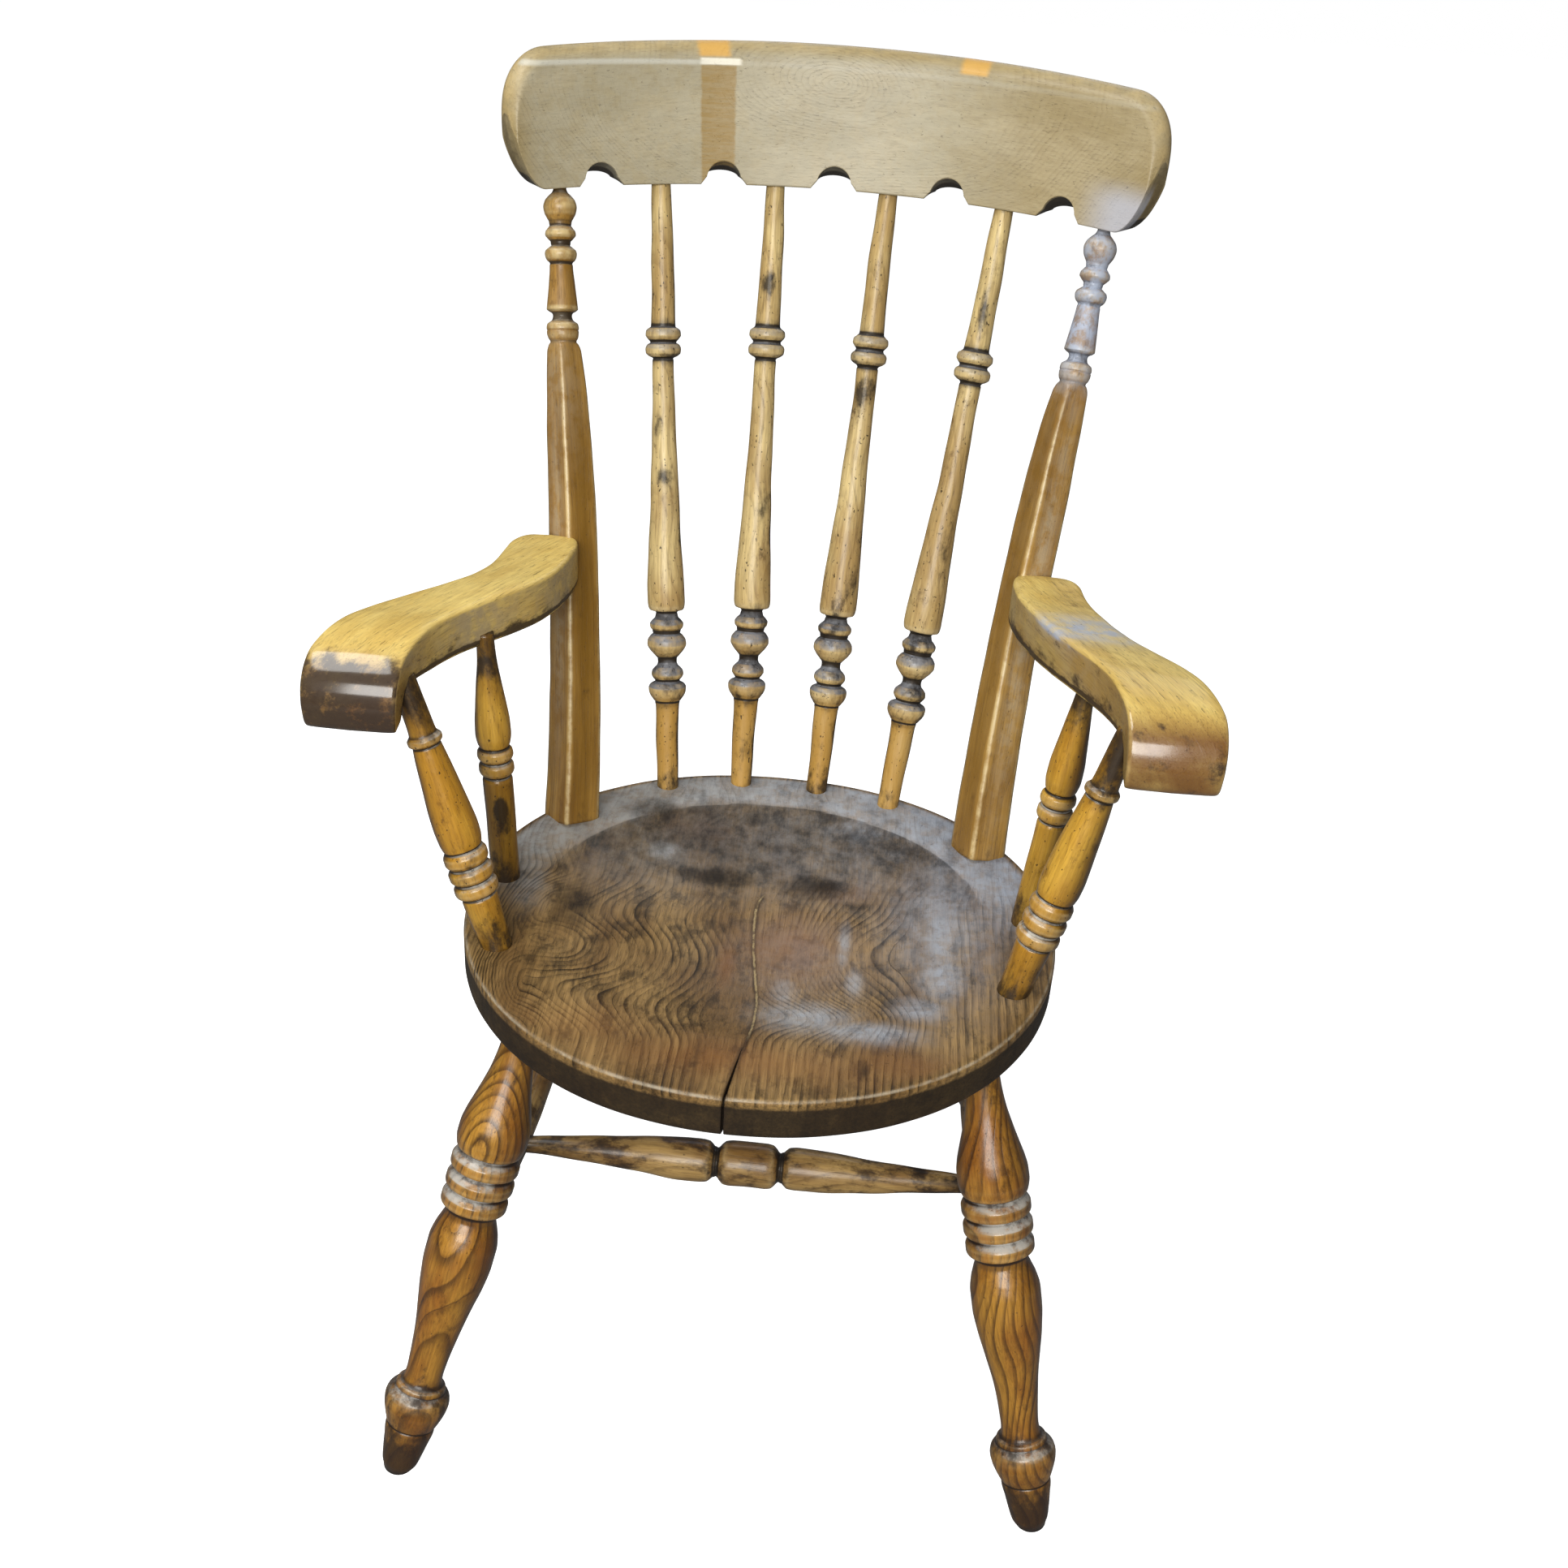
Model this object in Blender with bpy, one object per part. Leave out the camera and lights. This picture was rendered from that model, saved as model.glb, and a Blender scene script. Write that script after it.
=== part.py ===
"""Spindle-back Windsor armchair in turned and carved wood, in metres, +Z up, facing -Y."""
import math

import bmesh
import bpy
from mathutils import Matrix, Vector

for thing in list(bpy.data.objects):
    bpy.data.objects.remove(thing, do_unlink=True)

# Driving dimensions
GAP = 0.0003              # clearance in every joint
CENTRE_X = -0.0060        # the middle of the box, moved to the origin
CENTRE_Y = 0.0568
SEAT_Z = 0.433            # top of the seat's rim at y = 0
SEAT_FALL = 0.030         # the seat falls this much per metre to the back
SEAT_THICK = 0.038
SEAT_HALF = 0.2440
SEAT_MID_Y = -0.0208
SEAT_FRONT = 0.251
SEAT_BACK = 0.2324
SEAT_POWER = 2.1          # a little squarer than an ellipse
DISH_DEPTH = 0.009
CREST_ARC = 0.400         # plan radius of the crest rail and of the spindle tops
CREST_ARC_X = 0.004       # the old back leans a little to +X
CREST_BACK = 0.355        # how far back the middle of the crest's arc reaches
CREST_ARC_Y = CREST_BACK - CREST_ARC
CREST_Z = 0.9395
CREST_TALL = 0.104
CREST_THICK = 0.026
CREST_LEAN = 0.22
CREST_END = 0.284         # half length, measured along the arc
ARM_OUT_OF_LEVEL = 0.0035 # the left arm's front sits lower and the right one higher
ARM_SPLAY = 0.009         # the left arm's front stands out further than the right one's
POST_BOW = 0.006          # the posts bow towards each other
STRETCHER_Z = 0.145
CROSS_Y = -0.016

root = bpy.data.objects.new("chair_root", None)
bpy.context.scene.collection.objects.link(root)
root.location = (-CENTRE_X, -CENTRE_Y, 0.0)


def finish(name, colour, roughness, metallic=0.0):
    """A Principled material for one part."""
    mat = bpy.data.materials.new(name)
    mat.use_nodes = True
    shader = mat.node_tree.nodes["Principled BSDF"]
    shader.inputs["Base Color"].default_value = (*colour, 1.0)
    shader.inputs["Roughness"].default_value = roughness
    shader.inputs["Metallic"].default_value = metallic
    mat.diffuse_color = (*colour, 1.0)
    return mat


def place(name, bm, material, matrix=None, cutter=False):
    """Turns a bmesh into a named object hung from the root."""
    bmesh.ops.recalc_face_normals(bm, faces=bm.faces)
    mesh = bpy.data.meshes.new(name)
    bm.to_mesh(mesh)
    bm.free()
    mesh.shade_smooth()
    mesh.set_sharp_from_angle(angle=math.radians(38))
    obj = bpy.data.objects.new(name, mesh)
    bpy.context.scene.collection.objects.link(obj)
    obj.parent = root
    if matrix is not None:
        obj.location = matrix.to_translation()
        obj.rotation_mode = "QUATERNION"
        obj.rotation_quaternion = matrix.to_quaternion()
    if cutter:
        obj.hide_render = True
        obj.display_type = "WIRE"
    else:
        mesh.materials.append(material)
    return obj


def cut(obj, cutter):
    """Takes the cutter's shape out of the object."""
    mod = obj.modifiers.new("cut_" + cutter.name, "BOOLEAN")
    mod.operation = "DIFFERENCE"
    mod.solver = "EXACT"
    mod.object = cutter


def frame_along(foot, head):
    """Local +Z along the piece, local +Y towards the front."""
    foot, head = Vector(foot), Vector(head)
    axis = (head - foot).normalized()
    front = Vector((0.0, -1.0, 0.0))
    if abs(axis.y) > 0.9:
        front = Vector((0.0, 0.0, 1.0))
    side = front.cross(axis).normalized()
    front = axis.cross(side).normalized()
    turn = Matrix((side, front, axis)).transposed()
    return Matrix.Translation(foot) @ turn.to_4x4()


def skin(bm, rings):
    """Joins closed rings of equal count and caps both ends."""
    count = len(rings[0])
    for low, high in zip(rings, rings[1:]):
        for i in range(count):
            j = (i + 1) % count
            bm.faces.new((low[i], low[j], high[j], high[i]))
    bm.faces.new(rings[0])
    bm.faces.new(list(reversed(rings[-1])))


def turned_side(matrix):
    """Whether local +X points to world +X or to world -X."""
    return 1.0 if (matrix.to_3x3() @ Vector((1.0, 0.0, 0.0))).x > 0.0 else -1.0


def turned(name, material, foot, head, stations, sides=16, turn=0.0, planes=None, grow=0.0,
           bow=(0.0, 0.0), cutter=False):
    """A turned piece. A station is its distance from the foot in mm, its radius in mm and,
    where it isn't round, the power of its squarish section. planes sets a station on a slanted
    plane, given as height at y = 0 and slope. bow is a sideways bend in world X over a length."""
    matrix = frame_along(foot, head)
    inverse = matrix.inverted()
    axis = matrix.to_3x3() @ Vector((0.0, 0.0, 1.0))
    bm = bmesh.new()
    rings = []
    for index, station in enumerate(stations):
        along, radius = station[0] / 1000.0, station[1] / 1000.0 + grow
        power = station[2] if len(station) > 2 else 2.0
        ring = []
        for k in range(sides):
            angle = 2.0 * math.pi * k / sides
            c, s = math.cos(angle), math.sin(angle)
            reach = radius / (abs(c) ** power + abs(s) ** power) ** (1.0 / power)
            point = Vector((reach * math.cos(angle + turn), reach * math.sin(angle + turn), along))
            if bow[1] and 0.0 < along < bow[1]:
                t = along / bow[1]
                point.x += bow[0] * 4.0 * t * (1.0 - t) * turned_side(matrix)
            if planes and index in planes:
                height, slope = planes[index]
                world = matrix @ point
                over = height + slope * world.y - world.z
                world += axis * (over / (axis.z - slope * axis.y))
                point = inverse @ world
            ring.append(bm.verts.new(point))
        rings.append(ring)
    skin(bm, rings)
    return place(name, bm, material, matrix, cutter)


def peg(name, foot, head, radius, start, end, sides=16):
    """A plain round cutter along a piece's axis, between two distances in metres."""
    stations = [(start * 1000.0, radius * 1000.0), (end * 1000.0, radius * 1000.0)]
    return turned(name, None, foot, head, stations, sides, cutter=True)


def beyond(foot, head, distance):
    """The point this far past the head, along the same line."""
    foot, head = Vector(foot), Vector(head)
    return head + (head - foot).normalized() * distance


def mirror(point, side):
    return (point[0] * side, point[1], point[2])


def crest_back(x):
    """The y of the crest's arc above a given x, where posts and spindles meet it."""
    return CREST_ARC_Y + math.sqrt(max(0.0, CREST_ARC * CREST_ARC - (x - CREST_ARC_X) ** 2))


SIDES = (("left", -1.0), ("right", 1.0))

# Wood colours
elm = finish("seat", (0.150, 0.085, 0.042), 0.42)
crest_wood = finish("crest_rail", (0.470, 0.370, 0.230), 0.50)
post_wood = finish("back_post", (0.460, 0.310, 0.130), 0.45)
spindle_wood = finish("back_spindle", (0.500, 0.360, 0.160), 0.48)
arm_wood = finish("arm", (0.600, 0.440, 0.180), 0.40)
support_wood = finish("arm_support", (0.480, 0.270, 0.070), 0.40)
leg_wood = finish("leg", (0.450, 0.260, 0.070), 0.42)
stretcher_wood = finish("stretcher", (0.300, 0.190, 0.080), 0.50)
iron = finish("arm_screw", (0.230, 0.190, 0.160), 0.55, 0.85)


# Seat: one elm slab, dished, with a flat rim and a rounded upper arris

def seat_outline(angle, inset):
    """A point of the plan outline, moved in by the inset."""
    c, s = math.cos(angle), math.sin(angle)
    deep = SEAT_FRONT if s < 0.0 else SEAT_BACK
    e = 2.0 / SEAT_POWER
    x = (SEAT_HALF - inset) * math.copysign(abs(c) ** e, c)
    y = SEAT_MID_Y + (deep - inset) * math.copysign(abs(s) ** e, s)
    return x, y


def seat_plane(y):
    return SEAT_Z - SEAT_FALL * y


def seat_top(x, y):
    """The rim's plane less the dish, whose edge curves in front of the spindles."""
    deep = 0.197 if y < -0.03 else 0.205
    rho = math.hypot(x / 0.198, (y + 0.03) / deep)
    if rho >= 1.0:
        return seat_plane(y)
    return seat_plane(y) - DISH_DEPTH * (1.0 - rho ** 4) ** 1.3


def make_seat():
    bm = bmesh.new()
    around = 52
    rings = []
    for part in (0.12, 0.40, 0.62, 0.74, 0.82, 0.88, 0.94):
        ring = []
        for k in range(around):
            x, y = seat_outline(2.0 * math.pi * k / around, 0.0)
            x, y = x * part, SEAT_MID_Y + (y - SEAT_MID_Y) * part
            ring.append(bm.verts.new((x, y, seat_top(x, y))))
        rings.append(ring)
    for inset, drop in ((0.004, 0.0), (0.0012, 0.0012), (0.0, 0.004), (0.0, 0.031), (0.002, 0.0345),
                        (0.008, SEAT_THICK)):
        ring = []
        for k in range(around):
            x, y = seat_outline(2.0 * math.pi * k / around, inset)
            ring.append(bm.verts.new((x, y, seat_plane(y) - drop)))
        rings.append(ring)
    skin(bm, rings)
    return place("seat", bm, elm)


seat = make_seat()

# The split in the seat's front: a wedge of daylight that runs in from the edge
split_line = ((-0.0062, -0.280, 0.0010), (-0.0045, -0.255, 0.0009), (-0.0030, -0.228, 0.0007),
              (0.0045, -0.200, 0.0005), (0.0055, -0.172, 0.0001))
bm = bmesh.new()
lower = [bm.verts.new((x - w, y, 0.38)) for x, y, w in split_line]
lower += [bm.verts.new((x + w, y, 0.38)) for x, y, w in reversed(split_line)]
upper = [bm.verts.new((v.co.x, v.co.y, 0.47)) for v in lower]
skin(bm, [lower, upper])
cut(seat, place("seat_split_cutter", bm, None, cutter=True))

# Legs: one turning for all four, raked outwards both ways, soles worn flat on the floor
LEG_TOP = {"left": (0.1737, -0.1160, 0.4000), "right": (0.1812, -0.1110, 0.4000)}
LEG_FOOT = {"left": (0.2668, -0.2618, 0.0), "right": (0.2683, -0.2545, 0.0)}
REAR_TOP = (0.1500, 0.1200, 0.3960)
REAR_FOOT = (0.2300, 0.2700, 0.0)
leg_turning = [
    (0, 13.2), (5, 15.2), (26, 18.8), (47, 22.8), (58, 26.4), (66, 27.0), (72, 24.6), (80, 18.2),
    (88, 15.8), (98, 16.2), (126, 18.6), (156, 23.6), (176, 27.0), (196, 28.8), (214, 28.2), (226, 25.6),
    (236, 22.4), (243, 23.4), (247, 27.6), (255, 27.6), (259, 23.6), (264, 28.0), (272, 28.0),
    (276, 23.8), (281, 28.2), (289, 28.2), (293, 24.2), (297, 27.6), (312, 29.0), (328, 26.8),
    (346, 21.6), (366, 16.8), (390, 14.2), (410, 13.0), (454, 13.0)]
legs = {}
for label, side in SIDES:
    for which, foot, top in (("front", LEG_FOOT[label], LEG_TOP[label]), ("rear", REAR_FOOT, REAR_TOP)):
        name = "leg_" + which + "_" + label
        foot_at, top_at = mirror(foot, side), mirror(top, side)
        legs[name] = turned(name, leg_wood, foot_at, top_at, leg_turning, 12,
                            planes={0: (0.0, 0.0), 1: (0.0035, 0.0)})
        cut(seat, peg(name + "_socket", foot_at, top_at, 0.0130 + GAP, 0.410, 0.4546))

# Back posts: squarish and turned to show an arris, with a round turned top below the crest
POST_FOOT = {"left": (0.1830, 0.1057, 0.4299), "right": (0.1822, 0.1057, 0.4299)}
POST_TOP = {"left": (0.2234, crest_back(-0.2234), 0.9375), "right": (0.2339, crest_back(0.2339), 0.9375)}
post_turning = [
    (-20, 11.5), (0.0, 11.5), (0.3, 19.6, 5.0), (77, 18.5, 5.0), (150, 17.6, 5.0), (263, 16.8, 5.0),
    (319, 15.8, 4.8), (374, 14.0, 4.4), (413, 11.8, 4.0), (417, 12.4), (420, 13.0), (425, 13.8),
    (429, 12.2), (431, 9.0), (435, 7.7), (438, 9.6), (440, 13.1), (443, 12.8), (462, 11.0), (478, 9.6),
    (481, 11.4), (486, 13.4), (490, 11.4), (493, 8.2), (497, 9.6), (502, 13.0), (506, 11.4), (509, 9.3),
    (514, 10.2), (519, 13.0), (524, 14.0), (529, 12.4), (534, 8.4), (537, 5.6), (560, 5.6)]
POST_TURN = {"left": math.radians(45), "right": math.radians(28)}
posts = {}
for label, side in SIDES:
    foot_at, top_at = mirror(POST_FOOT[label], side), mirror(POST_TOP[label], side)
    on_seat = (SEAT_Z + GAP, -SEAT_FALL)
    posts[label] = turned("back_post_" + label, post_wood, foot_at, top_at, post_turning, 16,
                          POST_TURN[label], {1: on_seat, 2: on_seat}, bow=(-side * POST_BOW, 0.42))
    cut(seat, peg("back_post_" + label + "_socket", foot_at, top_at, 0.0115 + GAP, -0.021, 0.02))

# Spindles: four sticks fanning up to the crest rail
spindle_turning = [
    (-20, 9.8), (0, 9.8), (81, 11.0), (84, 13.4), (92, 14.0), (97, 17.2), (101, 16.2), (107, 13.2),
    (117, 8.3), (122, 10.6), (127, 14.6), (133, 17.8), (139, 16.4), (145, 12.8), (152, 14.8), (156, 12.6),
    (160, 10.4), (163, 11.2), (165, 15.8), (171, 16.9), (181, 16.8), (247, 13.4), (318, 10.9), (387, 9.5),
    (389, 14.0), (394, 15.8), (402, 12.4), (407, 15.8), (412, 13.6), (414, 10.8), (480, 9.6), (532, 7.9),
    (552, 7.9)]
spindle_ends = (((-0.1050, 0.1745), -0.1432), ((-0.0384, 0.1935), -0.0462),
                ((0.0324, 0.1935), 0.0522), ((0.1000, 0.1745), 0.1522))
spindles = []
for number, (low, high) in enumerate(spindle_ends, 1):
    name = "back_spindle_" + str(number)
    foot_at = (low[0], low[1], seat_plane(low[1]))
    top_at = (high, crest_back(high), CREST_Z)
    length = (Vector(top_at) - Vector(foot_at)).length
    stretch = length / 0.534
    turning = [(s * stretch if s > 0 else s, r) for s, r in spindle_turning]
    turned(name, spindle_wood, foot_at, top_at, turning, 12)
    spindles.append((name, foot_at, top_at, length))
    cut(seat, peg(name + "_socket", foot_at, top_at, 0.0098 + GAP, -0.0215, 0.015))


# Crest rail: a bent board on an arc, leaning out as it rises, scalloped below

def curl(s, start):
    """How far an edge has swept round towards the end, from 0 at start to 1 at the tip."""
    if abs(s) <= start:
        return 0.0
    k = min(1.0, (abs(s) - start) / (CREST_END - start))
    return 1.0 - math.sqrt(max(0.0, 1.0 - k * k))


def crest_heights(s):
    """Bottom and top of the board at a distance along the arc, rounded at the ends."""
    middle = 0.058
    high = CREST_TALL + 0.008 * (1.0 - (s / CREST_END) ** 2)
    return middle * curl(s, CREST_END - 0.025), high - (high - middle) * curl(s, CREST_END - 0.040)


def crest_point(s, offset, height):
    """A point by arc distance, distance out from the arc, and height over the bottom edge."""
    angle = s / CREST_ARC
    radius = CREST_ARC + offset + CREST_LEAN * height
    return (CREST_ARC_X + radius * math.sin(angle), CREST_ARC_Y + radius * math.cos(angle), CREST_Z + height)


def make_crest():
    bm = bmesh.new()
    half = CREST_THICK / 2.0
    places = []
    edge = (0.9985, 0.990, 0.965, 0.92, 0.85, 0.74, 0.58, 0.36, 0.12)
    start = CREST_END - 0.040
    places += [-(start + 0.040 * e) for e in edge]
    steps = 28
    places += [-start + 2.0 * start * i / steps for i in range(steps + 1)]
    places += [start + 0.040 * e for e in reversed(edge)]
    rings = []
    for s in places:
        low, high = crest_heights(s)
        tall = high - low
        soft = min(0.0015, tall * 0.2)
        cap = min(0.011, tall * 0.45)
        section = [(-half + soft, low), (half - soft, low), (half, low + soft)]
        for a in (0.0, 30.0, 60.0):
            section.append((half * math.cos(math.radians(a)), high - cap + cap * math.sin(math.radians(a))))
        for a in (90.0, 120.0, 150.0, 180.0):
            section.append((half * math.cos(math.radians(a)), high - cap + cap * math.sin(math.radians(a))))
        section.append((-half, low + soft))
        rings.append([bm.verts.new(crest_point(s, o, h)) for o, h in section])
    skin(bm, rings)
    return place("crest_rail", bm, crest_wood)


crest = make_crest()
for number, s in enumerate((-0.208, -0.0975, 0.0005, 0.102, 0.2055), 1):
    inner = crest_point(s, -0.04, 0.0)
    outer = crest_point(s, 0.06, 0.0)
    cut(crest, peg("crest_scallop_" + str(number), inner, outer, 0.0190, 0.0, 0.1, 28))
for name, foot_at, top_at, length in spindles:
    cut(crest, peg(name + "_crest_socket", foot_at, top_at, 0.0080 + GAP, length - 0.02,
                   length * 552.0 / 534.0 + 0.0006))
for label, side in SIDES:
    foot_at, top_at = mirror(POST_FOOT[label], side), mirror(POST_TOP[label], side)
    cut(crest, peg("back_post_" + label + "_crest_socket", foot_at, top_at, 0.0056 + GAP, 0.530, 0.5606))

# Arms: flat boards, waisted behind and broad in front, where they roll down
# Each station is y, height and half thickness of the board's middle, x, half width, and its pitch
arm_stations = [
    (0.1740, 0.6560, 0.0110, 0.2110, 0.0120, 0.0), (0.1710, 0.6545, 0.0150, 0.2120, 0.0205, 0.0),
    (0.1620, 0.6530, 0.0182, 0.2135, 0.0265, 0.0), (0.1460, 0.6528, 0.0192, 0.2145, 0.0292, 0.0),
    (0.1250, 0.6540, 0.0194, 0.2150, 0.0292, 0.0), (0.1000, 0.6560, 0.0194, 0.2170, 0.0288, 0.0),
    (0.0700, 0.6585, 0.0194, 0.2245, 0.0290, 0.0), (0.0400, 0.6612, 0.0194, 0.2395, 0.0300, 0.0),
    (0.0100, 0.6637, 0.0194, 0.2590, 0.0322, 0.0), (-0.0200, 0.6665, 0.0192, 0.2765, 0.0345, 0.0),
    (-0.0450, 0.6687, 0.0188, 0.2870, 0.0356, -2.0), (-0.0680, 0.6700, 0.0176, 0.2930, 0.0362, 4.0),
    (-0.0860, 0.6695, 0.0160, 0.2965, 0.0364, 18.0), (-0.0990, 0.6645, 0.0146, 0.2980, 0.0362, 38.0),
    (-0.1070, 0.6550, 0.0134, 0.2985, 0.0358, 62.0), (-0.1100, 0.6450, 0.0122, 0.2985, 0.0352, 80.0),
    (-0.1100, 0.6365, 0.0102, 0.2985, 0.0342, 92.0), (-0.1090, 0.6315, 0.0072, 0.2985, 0.0320, 98.0)]


def arm_shift(y, side):
    """The old chair's arms are out of true: nothing at the post, most at the front."""
    t = min(1.0, max(0.0, (0.165 - y) / 0.25))
    if side < 0.0:
        return Vector((-ARM_SPLAY * t, 0.0, -ARM_OUT_OF_LEVEL * t))
    belly = 0.008 * math.exp(-((y - 0.075) / 0.05) ** 2)
    return Vector((belly - 0.003 * t, 0.0, ARM_OUT_OF_LEVEL * t))


def make_arm(label, side):
    bm = bmesh.new()
    rings = []
    for y, z, thick, x, wide, pitch in arm_stations:
        a = math.radians(pitch)
        up = Vector((0.0, -math.sin(a), math.cos(a)))
        middle = Vector((x * side, y, z)) + arm_shift(y, side)
        ring = []
        for k in range(16):
            t = 2.0 * math.pi * k / 16
            c, s = math.cos(t), math.sin(t)
            across = wide * math.copysign(abs(c) ** 0.45, c)
            over = thick * math.copysign(abs(s) ** 0.55, s)
            ring.append(bm.verts.new(middle + Vector((across * side, 0.0, 0.0)) + up * over))
        rings.append(ring)
    skin(bm, rings)
    return place("arm_" + label, bm, arm_wood)


arms = {}
for label, side in SIDES:
    arms[label] = make_arm(label, side)
    foot_at, top_at = mirror(POST_FOOT[label], side), mirror(POST_TOP[label], side)
    housing = turned("arm_" + label + "_housing", None, foot_at, top_at, post_turning[3:7], 16,
                     POST_TURN[label], grow=GAP, bow=(-side * POST_BOW, 0.42), cutter=True)
    cut(arms[label], housing)

# Arm supports: a stout turned one in front and a slim one behind
front_turning = [
    (-20, 11.0), (0, 11.0), (0.2, 12.6), (22, 13.4), (42, 14.2), (46, 15.6), (51, 17.2), (56, 15.6),
    (60, 15.8), (64.5, 17.3), (69, 15.6), (73.5, 15.8), (78, 17.2), (82, 16.0), (86, 15.6), (94, 17.2),
    (112, 16.9), (134, 15.1), (166, 12.0), (169.5, 11.0), (172.5, 12.8), (176, 13.1), (179.5, 11.4),
    (184, 10.6), (197, 10.0), (208, 8.0), (222, 8.0), (240, 8.0)]
rear_turning = [
    (-20, 10.4), (0, 10.4), (0.2, 12.0), (60, 12.3), (90, 12.5), (93, 11.6), (97, 14.0), (101, 13.4),
    (104, 11.8), (108, 14.0), (112, 13.4), (116, 11.8), (119, 13.2), (128, 14.4), (148, 13.4),
    (168, 10.8), (192, 7.0), (204, 7.0), (222, 7.0)]
FRONT_SUPPORT = {"left": ((0.2061, -0.1052), (0.2750, -0.0830, 0.6570)),
                 "right": ((0.2061, -0.1052), (0.2635, -0.0830, 0.6570))}
REAR_SUPPORT = {"left": ((0.2200, -0.0042), (0.2340, 0.0090, 0.6480)),
                "right": ((0.2200, -0.0042), (0.2420, 0.0090, 0.6480))}
for label, side in SIDES:
    for which, ends, turning, low_r, top_r in (("front", FRONT_SUPPORT[label], front_turning, 0.0110, 0.0080),
                                               ("rear", REAR_SUPPORT[label], rear_turning, 0.0104, 0.0070)):
        name = "arm_support_" + which + "_" + label
        (fx, fy), top = ends
        foot_at = (fx * side, fy, seat_plane(fy))
        top_at = (top[0] * side, top[1], top[2] + side * ARM_OUT_OF_LEVEL)
        length = (Vector(top_at) - Vector(foot_at)).length * 1000.0
        plan = turning[-2][0]
        stretched = [(s if s <= 0 else s * length / plan, r) for s, r in turning[:-1]]
        stretched += [(length + 9.0, turning[-1][1])]
        turned(name, support_wood, foot_at, top_at, stretched, 12,
               planes={1: (SEAT_Z + GAP, -SEAT_FALL), 2: (SEAT_Z + GAP, -SEAT_FALL)})
        cut(seat, peg(name + "_socket", foot_at, top_at, low_r + GAP, -0.0215, 0.015))
        cut(arms[label], peg(name + "_arm_socket", foot_at, top_at, top_r + GAP, length / 1000.0 - 0.012,
                             length / 1000.0 + 0.0096))

# Stretchers: one each side from leg to leg, and a cross one between them
side_turning = [(6, 8.0), (30, 8.1), (60, 10.4), (120, 13.8), (180, 15.6), (240, 15.6), (300, 13.6),
                (362, 10.2), (396, 8.1), (420, 8.0)]


def on_leg(foot, top, height):
    foot, top = Vector(foot), Vector(top)
    return foot + (top - foot) * (height / (top.z - foot.z))


cross_ends = {}
for label, side in SIDES:
    front = on_leg(mirror(LEG_FOOT[label], side), mirror(LEG_TOP[label], side), STRETCHER_Z)
    rear = on_leg(mirror(REAR_FOOT, side), mirror(REAR_TOP, side), STRETCHER_Z)
    length = (rear - front).length
    turning = [(s * length / 0.426, r) for s, r in side_turning]
    name = "side_stretcher_" + label
    bar = turned(name, stretcher_wood, front, rear, turning, 12)
    cut(legs["leg_front_" + label], peg(name + "_front_socket", front, rear, 0.0082 + GAP, 0.0055, 0.045))
    cut(legs["leg_rear_" + label], peg(name + "_rear_socket", front, rear, 0.0082 + GAP, length - 0.045,
                                       length * 420.0 / 426.0 + 0.0006))
    part = (CROSS_Y - front.y) / (rear.y - front.y)
    cross_x = abs(front.x + (rear.x - front.x) * part)
    cross_ends[label] = side * (cross_x - 0.0040)
    inner = (side * (cross_x - 0.030), CROSS_Y, STRETCHER_Z)
    outer = (side * (cross_x - 0.0035), CROSS_Y, STRETCHER_Z)
    cut(bar, peg("cross_stretcher_socket_" + label, inner, outer, 0.0080 + GAP, 0.0, 0.0265))
half_mm = (cross_ends["right"] - cross_ends["left"]) * 500.0
cross_half = [(0.0, 20.4), (18.0, 20.0), (24.0, 18.0), (27.0, 14.4), (31.0, 14.2), (35.0, 18.2),
              (42.0, 19.4), (60.0, 18.6), (110.0, 14.0), (160.0, 9.6),
              (180.0, 8.2), (200.0, 7.4)]
cross_turning = [(half_mm - d * half_mm / 200.0, r) for d, r in reversed(cross_half[1:])]
cross_turning += [(half_mm + d * half_mm / 200.0, r) for d, r in cross_half]
turned("cross_stretcher", stretcher_wood, (cross_ends["left"], CROSS_Y, STRETCHER_Z),
       (cross_ends["right"], CROSS_Y, STRETCHER_Z),
       cross_turning, 16)

# Screws: one from behind each post, its head sunk, holding the arm's end
for label, side in SIDES:
    z = 0.6550
    low, high = Vector(POST_FOOT[label]), Vector(POST_TOP[label])
    at = low + (high - low) * ((z - low.z) / (high.z - low.z))
    x, y = side * (at.x - POST_BOW), at.y
    back, tip = (x, y + 0.0120, z), (x, y - 0.0500, z)
    screw = [(0.0, 4.0), (0.8, 4.0), (3.2, 2.0), (44.0, 2.0), (52.0, 1.0)]
    turned("arm_screw_" + label, iron, back, tip, screw, 14)
    bore = [(-30.0, 4.3), (3.5, 4.3), (3.6, 2.3), (52.5, 2.3)]
    hole = turned("arm_screw_" + label + "_hole", None, back, tip, bore, 16, cutter=True)
    cut(posts[label], hole)
    cut(arms[label], hole)
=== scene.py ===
import math
import bpy
import numpy as np
from mathutils import Matrix, Vector


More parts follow.
